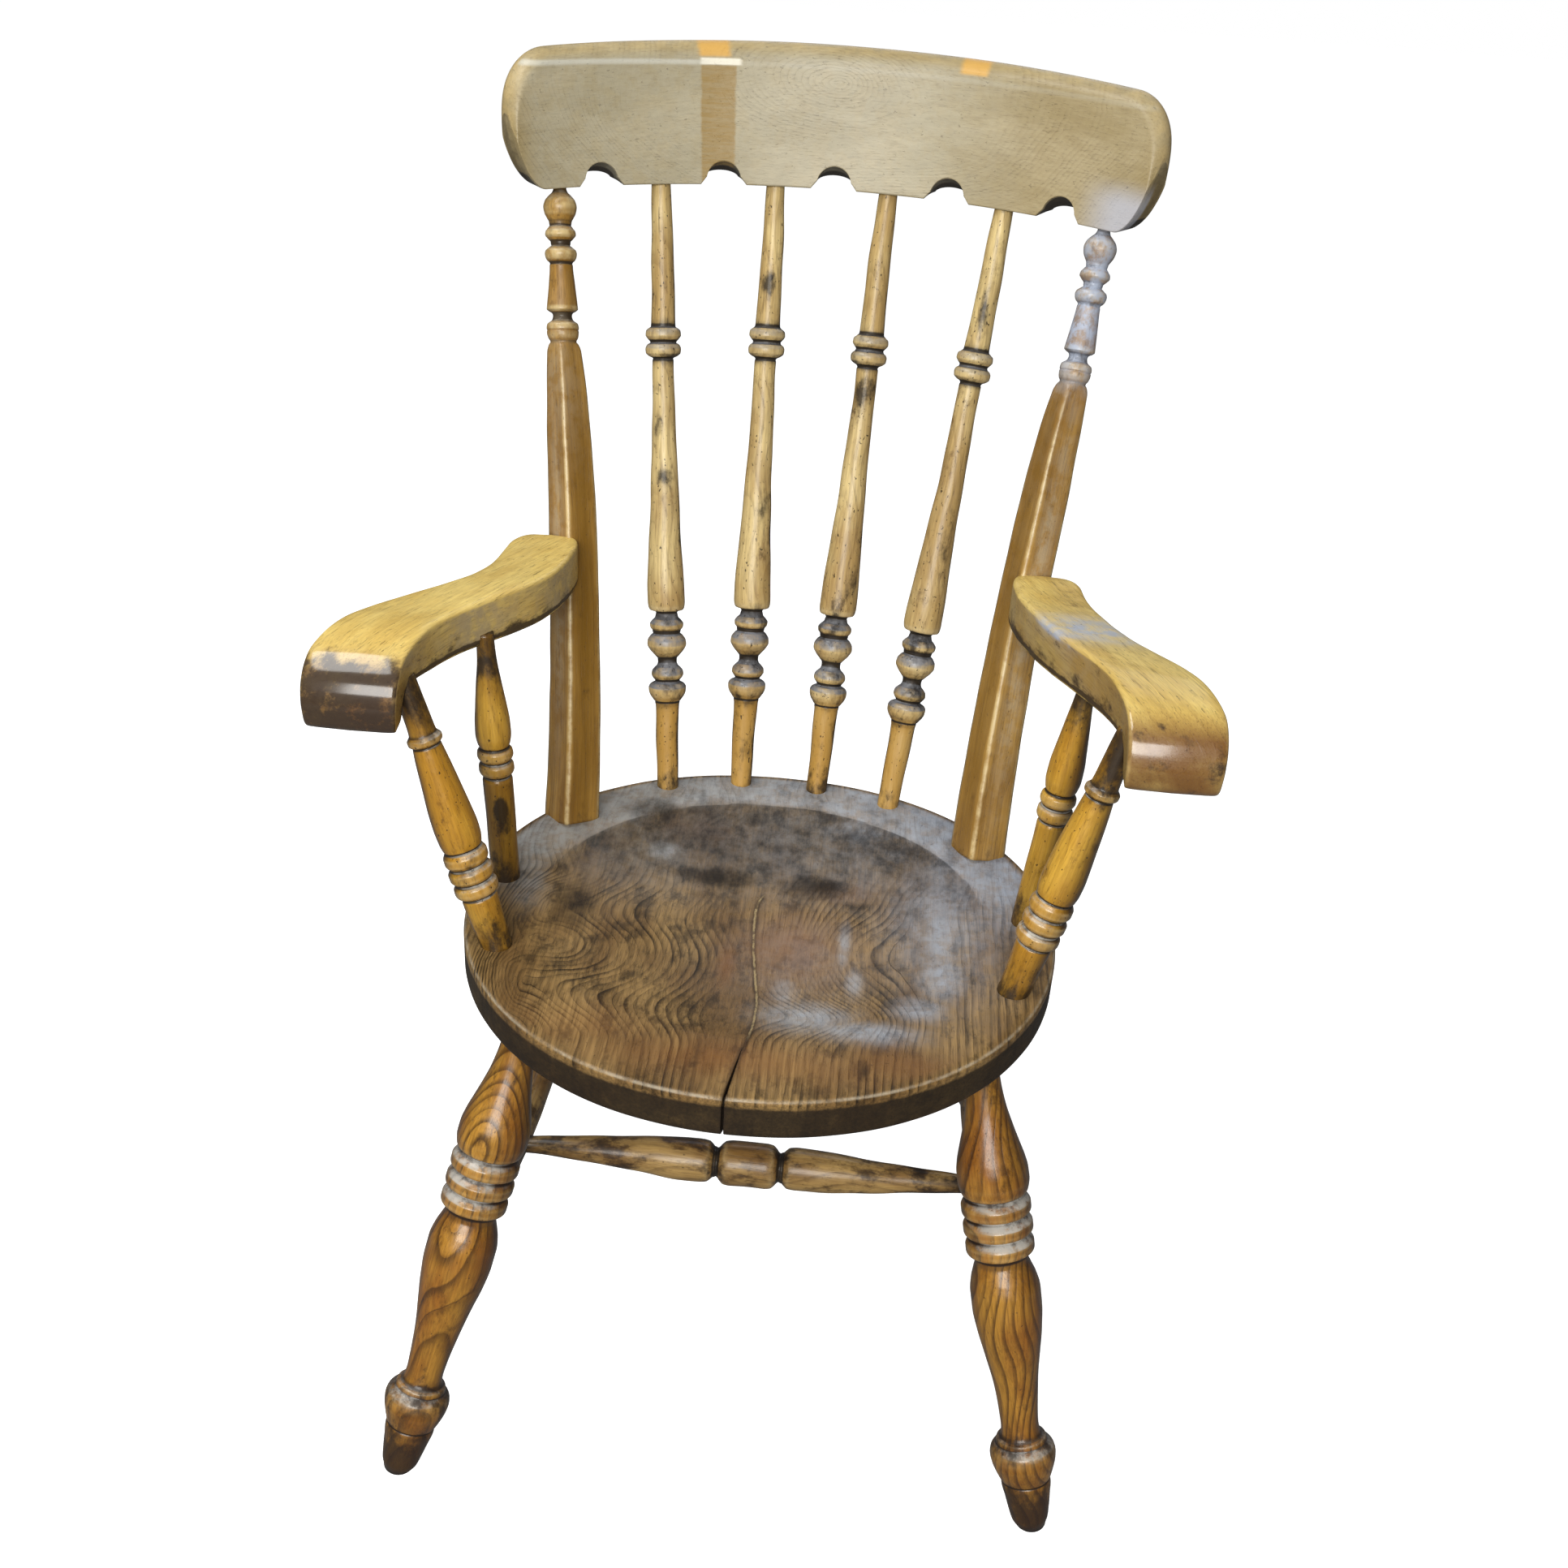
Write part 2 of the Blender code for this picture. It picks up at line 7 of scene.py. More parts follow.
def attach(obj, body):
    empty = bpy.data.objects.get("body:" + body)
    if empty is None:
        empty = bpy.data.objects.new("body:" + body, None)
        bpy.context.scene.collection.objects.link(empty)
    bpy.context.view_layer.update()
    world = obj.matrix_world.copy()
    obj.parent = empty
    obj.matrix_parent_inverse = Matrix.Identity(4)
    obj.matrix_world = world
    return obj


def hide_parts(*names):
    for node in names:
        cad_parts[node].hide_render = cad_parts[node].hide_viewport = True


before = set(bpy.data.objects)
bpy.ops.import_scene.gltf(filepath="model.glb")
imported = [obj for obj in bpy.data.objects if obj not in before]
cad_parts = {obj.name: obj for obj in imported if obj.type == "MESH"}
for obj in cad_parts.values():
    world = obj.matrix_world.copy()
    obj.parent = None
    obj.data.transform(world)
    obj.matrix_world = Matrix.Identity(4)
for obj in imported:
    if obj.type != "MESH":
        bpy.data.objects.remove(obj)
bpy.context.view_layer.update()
print("frame loaded:", len(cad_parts), "solids")

rootShift = np.array([0.0060, -0.0568, 0.0])  # the chair's own plan centre, moved to the middle of its box

# Small tools


def shade(red, green, blue):  # a colour as seen on screen, 0 to 255, made linear for the shader
    values = np.array([red, green, blue], float) / 255.0
    linear = np.where(values <= 0.04045, values / 12.92, ((values + 0.055) / 1.055) ** 2.4)
    return (*[float(v) for v in linear], 1.0)


# a sum of sines, each shorter one smaller
def waver(along, seed, size, lengths=(0.31, 0.17, 0.083, 0.047)):
    chance = np.random.default_rng(seed)
    total = np.zeros_like(along)
    for length in lengths:
        phase = chance.uniform(0, 2 * np.pi)
        total = total + math.sqrt(length / lengths[0]) * np.sin(2 * np.pi * along / length + phase)
    return size * total / 2.0


# cubic between the knots, flat at each peak and dip, so nothing overshoots
def smoothThrough(knots, values, at):
    knots, values = np.asarray(knots, float), np.asarray(values, float)
    step = np.diff(knots)
    slope = np.diff(values) / step
    tangent = np.zeros_like(values)
    same = slope[:-1] * slope[1:] > 0
    w1, w2 = 2 * step[1:] + step[:-1], step[1:] + 2 * step[:-1]
    safe0, safe1 = np.where(same, slope[:-1], 1.0), np.where(same, slope[1:], 1.0)
    tangent[1:-1] = np.where(same, (w1 + w2) / (w1 / safe0 + w2 / safe1), 0.0)
    tangent[0], tangent[-1] = slope[0], slope[-1]
    k = np.clip(np.searchsorted(knots, at, side="right") - 1, 0, len(step) - 1)
    t = np.clip((at - knots[k]) / step[k], 0.0, 1.0)
    return ((2 * t ** 3 - 3 * t ** 2 + 1) * values[k] + (t ** 3 - 2 * t ** 2 + t) * step[k] * tangent[k]
            + (-2 * t ** 3 + 3 * t ** 2) * values[k + 1] + (t ** 3 - t ** 2) * step[k] * tangent[k + 1])


def blurred(values, reach):  # a running gaussian mean, reach in samples
    spread = np.arange(-3 * reach, 3 * reach + 1)
    weight = np.exp(-0.5 * (spread / reach) ** 2)
    padded = np.pad(values, 3 * reach, mode="edge")
    return np.convolve(padded, weight / weight.sum(), mode="valid")


def upness(points):  # how far each point of a grid faces up, from -1 to 1
    along = np.gradient(points, axis=0)
    ring = np.concatenate([points[:, -1:], points, points[:, :1]], 1)
    across = np.gradient(ring, axis=1)[:, 1:-1]
    normal = np.cross(across, along)
    return normal[..., 2] / np.maximum(np.linalg.norm(normal, axis=-1), 1e-12)


# A skin over rows and columns of points: columns run round the piece, and a fan closes each end.
def gridPiece(name, points, marks, material, nodes):
    rows, columns = points.shape[:2]
    index = np.arange(rows * columns).reshape(rows, columns)
    after = np.roll(index, -1, axis=1)
    faces = np.stack([index[:-1], after[:-1], after[1:], index[1:]], -1).reshape(-1, 4).tolist()
    vertices = points.reshape(-1, 3)
    fields = {key: value.reshape(rows * columns, -1) for key, value in marks.items()}
    for row, first, second in ((0, after[0], index[0]), (rows - 1, index[-1], after[-1])):
        centre = len(vertices)
        vertices = np.concatenate([vertices, points[row].mean(0)[None]])
        for key, value in fields.items():
            fields[key] = np.concatenate([value, value[index[row]].mean(0)[None]])
        faces += np.stack([np.full(len(first), centre), first, second], -1).tolist()
    mesh = bpy.data.meshes.new(name)
    mesh.from_pydata((vertices + rootShift).tolist(), [], faces)
    for key, value in fields.items():
        kind, part = ("FLOAT_VECTOR", "vector") if value.shape[1] == 3 else ("FLOAT", "value")
        mesh.attributes.new(key, kind, "POINT").data.foreach_set(part, value.astype(np.float32).ravel())
    mesh.shade_smooth()
    mesh.materials.append(material)
    piece = bpy.data.objects.new(name, mesh)
    bpy.context.scene.collection.objects.link(piece)
    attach(piece, "root")
    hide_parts(*nodes)
    return piece


def frameAlong(foot, head):  # columns: sideways, frontwards, along the piece
    foot, head = np.asarray(foot, float), np.asarray(head, float)
    axis = (head - foot) / np.linalg.norm(head - foot)
    front = np.array([0.0, 0.0, 1.0]) if abs(axis[1]) > 0.9 else np.array([0.0, -1.0, 0.0])
    side = np.cross(front, axis)
    side /= np.linalg.norm(side)
    return np.stack([side, np.cross(axis, side), axis], 1)


turnedShape = {  # lengths in metres; what a piece's own settings don't say
    "fineStep": 0.00025, "spacing": 0.0030, "bendRows": 130.0, "mostRows": 2200.0, "columns": 56,
    "uneven": 0.00022, "wander": 0.0004, "oval": 0.006, "crowding": 0.17, "turn": 0.0, "bow": (0.0, 1.0),
    "pith": (0.035, 0.02, 0.05, 0.0), "figure": 0.004, "figureLength": 0.16, "floor": False, "cuts": (),
    "powers": ((0, 2.0), (1000, 2.0)), "squared": False, "narrowReach": 10, "narrowDepth": 0.0011,
    "wideReach": 26, "wideDepth": 0.0030, "wideShare": 0.55, "dirtAndShade": ((0, 0), (1000, 0)),
    "bleachAndSheen": ((0, 0), (1000, 0)), "tone": ((0, 0), (1000, 0)), "coldSheen": ((0, 0), (1000, 0)),
    "dustAndSheen": ((0, 0), (1000, 0)), "dustAndSheenFrom": 0.54, "underShade": 0.35, "patch": (), "edgeShade": (), "fade": (),
    "shadeAndStain": (),
}
# spots that darken an edge or a side are painted shade; those that lighten a post's outer face are painted
# light
spotKinds = (("patch", "dirtAndShade"), ("edgeShade", "dirtAndShade"), ("fade", "bleachAndSheen"), ("shadeAndStain", "tone"))


def read(table, place):  # a table of places in mm and amounts, read at each place
    return np.interp(place, *np.asarray(table, float).T)


# Radius is a smooth curve through stations of distance and radius in mm, less a notch at each cut.
# The section is a circle, or a superellipse where a power is given, carried along a line that may bow.
# Rows crowd where the curve bends. A spot is a place in mm, a direction (0 left, 90 front), two reaches
# and a strength.
def turnedPiece(name, foot, head, stations, look, material, nodes):
    look = {**turnedShape, **look}
    seed = look["seed"]
    foot, head = np.asarray(foot, float), np.asarray(head, float)
    basis = frameAlong(foot, head)
    table = np.asarray(stations, float) / 1000.0
    fine = np.arange(table[0, 0], table[-1, 0], look["fineStep"])
    radius = smoothThrough(table[:, 0], table[:, 1], fine)
    for place, depth, width in look["cuts"]:
        radius = radius - depth / 1000.0 * np.exp(-((fine * 1000.0 - place) / width) ** 2)
    narrow = np.clip((blurred(radius, look["narrowReach"]) - radius) / look["narrowDepth"], -1.0, 1.0)
    wide = np.clip((blurred(radius, look["wideReach"]) - radius) / look["wideDepth"], -1.0, 1.0)
    sunk = np.maximum(narrow, wide * look["wideShare"]) + np.minimum(narrow, 0.0)
    bend = np.abs(np.gradient(np.gradient(radius, fine), fine))
    density = 1.0 / look["spacing"] + np.minimum(np.sqrt(blurred(bend, 3)) * look["bendRows"],
                                                 look["mostRows"])
    count = np.concatenate([[0.0], np.cumsum((density[1:] + density[:-1]) * 0.5 * np.diff(fine))])
    along = np.interp(np.linspace(0.0, count[-1], int(count[-1]) + 2), count, fine)
    place = along * 1000.0
    reach = np.interp(along, fine, radius) + waver(along, seed, look["uneven"])
    angle = 2 * np.pi * np.arange(look["columns"]) / look["columns"]
    if look["squared"]:
        angle = angle - look["crowding"] * np.sin(4 * angle)  # columns crowd towards the arrises
    power = read(look["powers"], place)[:, None]
    spread = (np.abs(np.cos(angle)) ** power + np.abs(np.sin(angle)) ** power) ** (1.0 / power)
    section = reach[:, None] / spread * (1.0 + look["oval"] * np.cos(2 * angle + seed))
    turn = look["turn"]
    x = section * np.cos(angle + turn)
    y = section * np.sin(angle + turn)
    bow, bowLength = look["bow"]
    t = np.clip(along / bowLength, 0.0, 1.0)
    bowed = bow * 4 * t * (1 - t) * (1.0 if basis[0, 0] > 0 else -1.0)
    shiftX = bowed + waver(along, seed + 50, look["wander"])
    shiftY = waver(along, seed + 90, look["wander"])
    length = np.broadcast_to(along[:, None], x.shape)
    points = foot + np.stack([x + shiftX[:, None], y + shiftY[:, None], length], -1) @ basis.T
    if look["floor"]:  # soles end flat on the floor
        under = np.minimum(points[..., 2], 0.0)
        points = points - under[..., None] * basis[:, 2] / basis[2, 2]
        points[0, :, 2] = 0.0
    pithX, pithY, leanX, leanY = look["pith"]
    growth = np.hypot(x - pithX - leanX * length, y - pithY - leanY * length)
    swing = length * 2 * np.pi / look["figureLength"] + seed + 1.3 * np.sin(angle + seed)
    growth = growth + look["figure"] * np.sin(swing)
    offset = np.array([seed * 0.37, seed * 0.71, seed * 0.53])
    marks = {"grain": np.stack([x, y, length], -1) + offset, "growth": growth}
    rings = {"hollow": np.interp(along, fine, sunk)}
    rings.update({key: read(look[key], place) for key in ("dirtAndShade", "bleachAndSheen", "tone", "coldSheen")})
    marks.update({key: np.broadcast_to(values[:, None], x.shape).copy() for key, values in rings.items()})
    for kind, key in spotKinds:
        for spot, direction, long, broad, strength in look[kind]:
            gap = np.abs((angle + turn - math.radians(direction) + np.pi) % (2 * np.pi) - np.pi)
            away = ((place[:, None] - spot) / long) ** 2 + (gap / broad) ** 2
            marks[key] = np.maximum(marks[key], strength * np.exp(-away))
    facing = upness(points)
    # dust and painted sheen: slopes that face up grey over, standing in for light caught on the ring bevels
    dustAndSheen = read(look["dustAndSheen"], place)[:, None] * np.clip((facing - look["dustAndSheenFrom"]) / 0.26, 0.0, 1.0)
    marks["bleachAndSheen"] = np.maximum(marks["bleachAndSheen"], dustAndSheen)
    # painted shade: faces that look down are darkened the same way as dirt
    marks["dirtAndShade"] = marks["dirtAndShade"] + look["underShade"] * np.clip(-facing - 0.15, 0.0, 1.0)
    if look["squared"]:  # arrises wear first
        marks["hollow"] = marks["hollow"] - np.clip((1.0 / spread - 1.0) / 0.36, 0.0, 1.0) ** 6
    return gridPiece(name, points, marks, material, nodes)


# Wood finishes


def addNode(tree, kind, settings=None, links=None):
    node = tree.nodes.new(kind)
    for key, value in (settings or {}).items():
        if isinstance(key, int) or key in node.inputs:
            node.inputs[key].default_value = value
        else:
            setattr(node, key, value)
    for key, source in (links or {}).items():
        tree.links.new(source, node.inputs[key])
    return node


def calc(tree, operation, first, second=None, third=None):
    node = tree.nodes.new("ShaderNodeMath")
    node.operation = operation
    for slot, value in enumerate((first, second, third)):
        if isinstance(value, (int, float)):
            node.inputs[slot].default_value = value
        elif value is not None:
            tree.links.new(value, node.inputs[slot])
    return node.outputs[0]


def plus(tree, first, second):
    return calc(tree, "ADD", first, second)


def minus(tree, first, second):
    return calc(tree, "SUBTRACT", first, second)


def times(tree, first, second):
    return calc(tree, "MULTIPLY", first, second)


def ease(tree, value, low, high, toLow=0.0, toHigh=1.0):  # a smooth step from one amount to another
    settings = {"interpolation_type": "SMOOTHSTEP", 1: low, 2: high, 3: toLow, 4: toHigh}
    return addNode(tree, "ShaderNodeMapRange", settings, {0: value}).outputs[0]


def tint(tree, factor, first, second):  # the first colour, moved towards the second by factor
    node = addNode(tree, "ShaderNodeMix", {"data_type": "RGBA", "clamp_factor": True})
    for slot, value in ((0, factor), (6, first), (7, second)):
        if isinstance(value, (int, float, tuple)):
            node.inputs[slot].default_value = value
        else:
            tree.links.new(value, node.inputs[slot])
    return node.outputs[2]


def noise(tree, vector, scale, detail, rough, stretch=(1.0, 1.0, 1.0), offset=0.0):
    settings = {1: (offset, offset * 0.7, offset * 1.3), 3: stretch}
    source = addNode(tree, "ShaderNodeMapping", settings, {0: vector}).outputs[0]
    settings = {"Scale": scale, "Detail": detail, "Roughness": rough}
    return addNode(tree, "ShaderNodeTexNoise", settings, {"Vector": source}).outputs[0]


def attribute(tree, name):
    node = addNode(tree, "ShaderNodeAttribute", {"attribute_name": name})
    return node.outputs["Vector"] if name == "grain" else node.outputs["Fac"]


woodLook = {  # what a wood's own settings don't say
    "bendScale": 16.0, "bend": 0.012, "fray": 0.0016, "lateWidth": 0.34, "eachLeast": 0.35,
    "breakScale": 30.0, "breakLeast": 0.8, "fibreScale": (520.0, 520.0, 14.0),
    "poreScale": (1150.0, 1150.0, 55.0), "poreFrom": 0.60, "blotchScale": 22.0, "patchScale": 60.0,
    "ringStrength": 0.7, "fibreDark": 0.30, "poreStrength": 0.45, "patchFrom": 0.56, "patchStrength": 0.5,
    "wear": 0.4, "grimeFrom": 0.10, "grimeFull": 0.62, "grimeStrength": 0.93, "hazeLeast": 0.45,
    "hazeLines": 0.0, "dirtRagged": 1.5, "dirtFrom": 0.42, "dirtFull": 0.85, "dirtStrength": 0.85,
    "speckFrom": 0.70, "speck": 0.6, "rough": 0.42, "dents": 1.6, "fibreRelief": 0.35, "poreRelief": 0.35,
    "ringRelief": 0.25, "relief": 0.00045, "coatRough": 0.22, "specular": 0.32,
    "coldSheen": shade(170, 182, 204), "polished": 0.0,
}


# Growth rings come from the piece's own growth distance, bent by noise. Fibres and pores are stretched
# along the grain, over broad blotches. Then come wear on the high places, grime in the hollows, greyed
# places with painted sheen, and dirt with painted shade.
def woodFinish(name, look, extra=None):
    look = {**woodLook, "rich": look["dark"], **look}
    material = bpy.data.materials.new(name)
    material.use_nodes = True
    tree = material.node_tree
    shader = tree.nodes["Principled BSDF"]
    grain, growth = attribute(tree, "grain"), attribute(tree, "growth")
    hollow, dirtAndShade, bleachAndSheen = attribute(tree, "hollow"), attribute(tree, "dirtAndShade"), attribute(tree, "bleachAndSheen")
    tone = attribute(tree, "tone")
    # rings
    slow = minus(tree, noise(tree, grain, look["bendScale"], 2.0, 0.5, (1, 1, 0.35)), 0.5)
    quick = minus(tree, noise(tree, grain, 130.0, 4.0, 0.6, (1, 1, 0.22), 3.0), 0.5)
    bent = plus(tree, growth, times(tree, slow, look["bend"]))
    bent = plus(tree, bent, times(tree, quick, look["fray"]))
    count = times(tree, bent, look["rings"])
    phase = calc(tree, "FRACT", count)
    each = addNode(tree, "ShaderNodeTexWhiteNoise", {"noise_dimensions": "1D"},
                   {"W": calc(tree, "FLOOR", count)}).outputs[0]
    late = minus(tree, 1.0, ease(tree, phase, 0.0, look["lateWidth"]))
    late = calc(tree, "MAXIMUM", late, ease(tree, phase, 0.90, 1.0))
    late = times(tree, late, ease(tree, each, 0.0, 1.0, look["eachLeast"], 1.0))
    broken = noise(tree, grain, look["breakScale"], 3.0, 0.6, (1, 1, 0.5), 33.0)
    late = times(tree, late, ease(tree, broken, 0.36, 0.62, look["breakLeast"], 1.0))
    late = times(tree, late, minus(tree, 1.0, attribute(tree, "calm")))
    # fibres, pores and blotches
    fibre = noise(tree, grain, 1.0, 3.0, 0.6, look["fibreScale"])
    pore = noise(tree, grain, 1.0, 2.0, 0.5, look["poreScale"], 5.0)
    poreMask = ease(tree, pore, look["poreFrom"], look["poreFrom"] + 0.07)
    blotch = noise(tree, grain, look["blotchScale"], 4.0, 0.6, (1, 1, 0.45), 9.0)
    patch = noise(tree, grain, look["patchScale"], 5.0, 0.68, (1, 1, 0.6), 13.0)
    colour = tint(tree, ease(tree, blotch, 0.36, 0.64), look["pale"], look["warm"])
    colour = tint(tree, times(tree, late, look["ringStrength"]), colour, look["dark"])
    colour = tint(tree, ease(tree, fibre, 0.30, 0.70, look["fibreDark"], 0.0), colour, look["dark"])
    poreAmount = times(tree, poreMask, calc(tree, "MULTIPLY_ADD", late, 0.6, 0.4))
    colour = tint(tree, times(tree, poreAmount, look["poreStrength"]), colour, look["grime"])
    colour = tint(tree, ease(tree, patch, look["patchFrom"], look["patchFrom"] + 0.16, 0.0,
                             look["patchStrength"]), colour, look["dark"])
    toned = times(tree, tone, ease(tree, blotch, 0.30, 0.60, 0.78, 1.0))
    colour = tint(tree, toned, colour, look["rich"])
    # wear on the high places, grime in the hollows
    rub = noise(tree, grain, 75.0, 4.0, 0.65, (1, 1, 1), 17.0)
    high = ease(tree, times(tree, hollow, -1.0), 0.05, 0.75)
    high = times(tree, high, ease(tree, rub, 0.34, 0.62, 0.25, 1.0))
    colour = tint(tree, times(tree, high, look["wear"]), colour, look["worn"])
    deep = plus(tree, hollow, times(tree, minus(tree, rub, 0.5), 0.5))
    deep = ease(tree, deep, look["grimeFrom"], look["grimeFull"])
    colour = tint(tree, times(tree, deep, look["grimeStrength"]), colour, look["grime"])
    # bleached or greyed places with painted sheen, then patchy dirt with painted shade
    hazy = times(tree, bleachAndSheen, ease(tree, rub, 0.36, 0.60, look["hazeLeast"], 1.0))
    hazy = times(tree, hazy, minus(tree, 1.0, times(tree, late, look["hazeLines"])))
    # painted bluish reflection: where the cold mark is set, the grey turns blue
    haze = tint(tree, attribute(tree, "coldSheen"), look["hazy"], look["coldSheen"])
    colour = tint(tree, hazy, colour, haze)
    # patchy dirt, which also carries painted shade under pieces and down their edges
    dirtAndShadeMask = plus(tree, dirtAndShade, times(tree, minus(tree, patch, 0.5), look["dirtRagged"]))
    dirtAndShadeMask = ease(tree, dirtAndShadeMask, look["dirtFrom"], look["dirtFull"])
    dirtAndShadeMask = times(tree, dirtAndShadeMask, ease(tree, dirtAndShade, 0.0, 0.25))
    colour = tint(tree, times(tree, dirtAndShadeMask, look["dirtStrength"]), colour, look["grime"])
    speck = ease(tree, noise(tree, grain, 420.0, 2.0, 0.5, (1, 1, 0.6), 21.0), look["speckFrom"],
                 look["speckFrom"] + 0.05)
    colour = tint(tree, times(tree, speck, look["speck"]), colour, look["grime"])
    # gloss and relief
    rough = plus(tree, look["rough"], times(tree, minus(tree, rub, 0.5), 0.28))
    rough = plus(tree, rough, times(tree, calc(tree, "MAXIMUM", deep, dirtAndShadeMask), 0.22))
    rough = minus(tree, rough, times(tree, high, 0.10))
    dents = noise(tree, grain, 48.0, 3.0, 0.5, (1, 1, 1), 25.0)
    height = times(tree, dents, look["dents"])
    height = plus(tree, height, times(tree, fibre, look["fibreRelief"]))
    height = minus(tree, height, times(tree, poreAmount, look["poreRelief"]))
    height = minus(tree, height, times(tree, late, look["ringRelief"]))
    height = minus(tree, height, times(tree, speck, 0.5))
    if extra:
        colour, height = extra(tree, grain, colour, height)
    bump = addNode(tree, "ShaderNodeBump", {"Strength": 1.0, "Distance": look["relief"]},
                   {"Height": height})
    tree.links.new(bump.outputs[0], shader.inputs["Normal"])
    tree.links.new(colour, shader.inputs["Base Color"])
    tree.links.new(calc(tree, "MINIMUM", calc(tree, "MAXIMUM", rough, 0.12), 0.95),
                   shader.inputs["Roughness"])
    if look["polished"]:
        gloss = times(tree, attribute(tree, "gloss"), look["polished"])
        tree.links.new(plus(tree, gloss, look["coat"]), shader.inputs["Coat Weight"])
    else:
        shader.inputs["Coat Weight"].default_value = look["coat"]
    shader.inputs["Coat Roughness"].default_value = look["coatRough"]
    shader.inputs["Specular IOR Level"].default_value = look["specular"]
    return material


# Seat

seatShape = {
    "rimHeight": 0.433, "fall": 0.030, "thick": 0.038, "half": 0.2440, "middleY": -0.0208, "front": 0.251,
    "back": 0.2324, "power": 2.1, "arris": 0.0042, "dishDepth": 0.0110, "dishX": 0.192, "dishFront": 0.172,
    "dishBack": 0.203, "dishY": -0.030,
}
seatMesh = {"columns": 380, "splitColumns": 100, "splitReach": 0.055, "topRings": 150, "underRings": 26}
seatSplit = {  # y and x of the old split, its open end and the filled stretch behind
    "line": (
        (-0.2900, -0.0082), (-0.2725, -0.0070), (-0.2500, -0.0040), (-0.2150, 0.0005), (-0.1990, 0.0040),
        (-0.1700, 0.0064), (-0.1486, 0.0064), (-0.1200, 0.0035), (-0.0943, 0.0003), (-0.0550, -0.0040),
        (-0.0238, -0.0059), (-0.0020, -0.0058), (0.0146, -0.0020),
    ),
    "openTo": -0.208, "halfWidth": 0.0010, "depth": 0.008,
}
seatStains = (  # x, y, reach in x and y, strength of the dark patches of the dish and back
    (-0.046, 0.040, 0.055, 0.026, 0.95), (0.040, 0.036, 0.050, 0.030, 0.90),
    (-0.110, 0.130, 0.045, 0.030, 0.75), (-0.020, 0.135, 0.040, 0.035, 0.85),
    (0.120, 0.020, 0.020, 0.060, 0.50), (-0.156, -0.030, 0.024, 0.050, 0.80),
    (-0.050, -0.150, 0.070, 0.022, 0.45), (0.075, 0.012, 0.040, 0.012, 0.60),
    (0.160, 0.100, 0.012, 0.030, 0.70), (-0.032, -0.234, 0.007, 0.026, 0.90),
    (0.062, -0.230, 0.006, 0.020, 0.55), (0.092, -0.225, 0.009, 0.028, 0.90),
    (0.035, -0.240, 0.008, 0.018, 0.50), (-0.205, -0.010, 0.018, 0.060, 0.45),
    (0.205, -0.040, 0.018, 0.060, 0.45),
)
seatFigure = (  # x, y, reach in x and y, and how far the growth lines swing sideways there
    (0.078, -0.062, 0.046, 0.062, 0.040), (0.050, -0.160, 0.060, 0.026, -0.034),
    (0.100, 0.070, 0.060, 0.036, -0.018), (-0.040, 0.100, 0.070, 0.040, 0.024),
    (0.030, 0.140, 0.060, 0.030, -0.020), (-0.160, 0.080, 0.050, 0.050, 0.010),
)
seatLoops = {
    "x": -0.172, "y": -0.092, "flat": 1.25, "shift": -0.012, "from": -0.215, "to": 0.020, "soft": 0.085,
}
seatTone = (  # the smoother, redder places: the middle of the dish and the front rim
    (0.030, -0.062, 0.040, 0.050, 0.80), (0.000, -0.226, 0.110, 0.022, 0.55),
    (-0.022, -0.090, 0.008, 0.030, 0.70), (0.060, 0.030, 0.030, 0.016, 0.45),
    (-0.060, 0.110, 0.040, 0.016, 0.35), (0.120, -0.215, 0.050, 0.020, 0.45),
    (-0.120, -0.200, 0.050, 0.026, 0.35),
)
seatCalm = (  # where the growth lines hardly show
    (0.030, -0.070, 0.044, 0.055, 0.95), (0.040, 0.080, 0.200, 0.080, 0.30),
    (0.150, -0.050, 0.026, 0.080, 0.60), (-0.020, 0.010, 0.070, 0.030, 0.60),
    (0.045, -0.165, 0.040, 0.020, 0.30), (0.030, -0.226, 0.040, 0.020, 0.55),
)
seatSheen = (  # x, y, reach in x and y, strength of the painted grey-blue sheen
    (-0.093, 0.070, 0.020, 0.020, 0.85), (-0.126, 0.110, 0.024, 0.018, 0.50),
    (0.077, 0.125, 0.050, 0.026, 0.85), (0.127, 0.165, 0.040, 0.020, 0.75),
    (0.010, 0.195, 0.060, 0.016, 0.50), (0.150, 0.075, 0.022, 0.040, 0.65),
    (0.148, -0.030, 0.018, 0.055, 0.80), (0.150, -0.092, 0.020, 0.035, 0.80),
    (0.132, -0.140, 0.020, 0.018, 0.75), (0.026, -0.125, 0.012, 0.020, 0.55),
    (0.045, -0.160, 0.034, 0.022, 0.80), (0.090, -0.176, 0.040, 0.014, 0.80),
    (0.070, -0.050, 0.006, 0.034, 0.60), (0.080, -0.105, 0.008, 0.022, 0.60),
    (-0.205, 0.075, 0.020, 0.030, 0.55), (-0.030, 0.130, 0.030, 0.016, 0.35),
    (0.107, 0.091, 0.024, 0.016, 0.60), (-0.195, -0.020, 0.016, 0.030, 0.35),
    (0.050, 0.110, 0.150, 0.090, 0.48), (0.150, 0.010, 0.050, 0.120, 0.58),
    (0.040, -0.080, 0.070, 0.080, 0.20), (-0.110, 0.070, 0.080, 0.070, 0.36),
)


def seatPlane(y):
    return seatShape["rimHeight"] - seatShape["fall"] * y


def seatOutline(angle, inset):  # superellipse, deeper in front than behind
    c, s = np.cos(angle), np.sin(angle)
    e = 2.0 / seatShape["power"]
    deep = np.where(s < 0, seatShape["front"], seatShape["back"])
    return ((seatShape["half"] - inset) * np.sign(c) * np.abs(c) ** e,
            seatShape["middleY"] + (deep - inset) * np.sign(s) * np.abs(s) ** e)


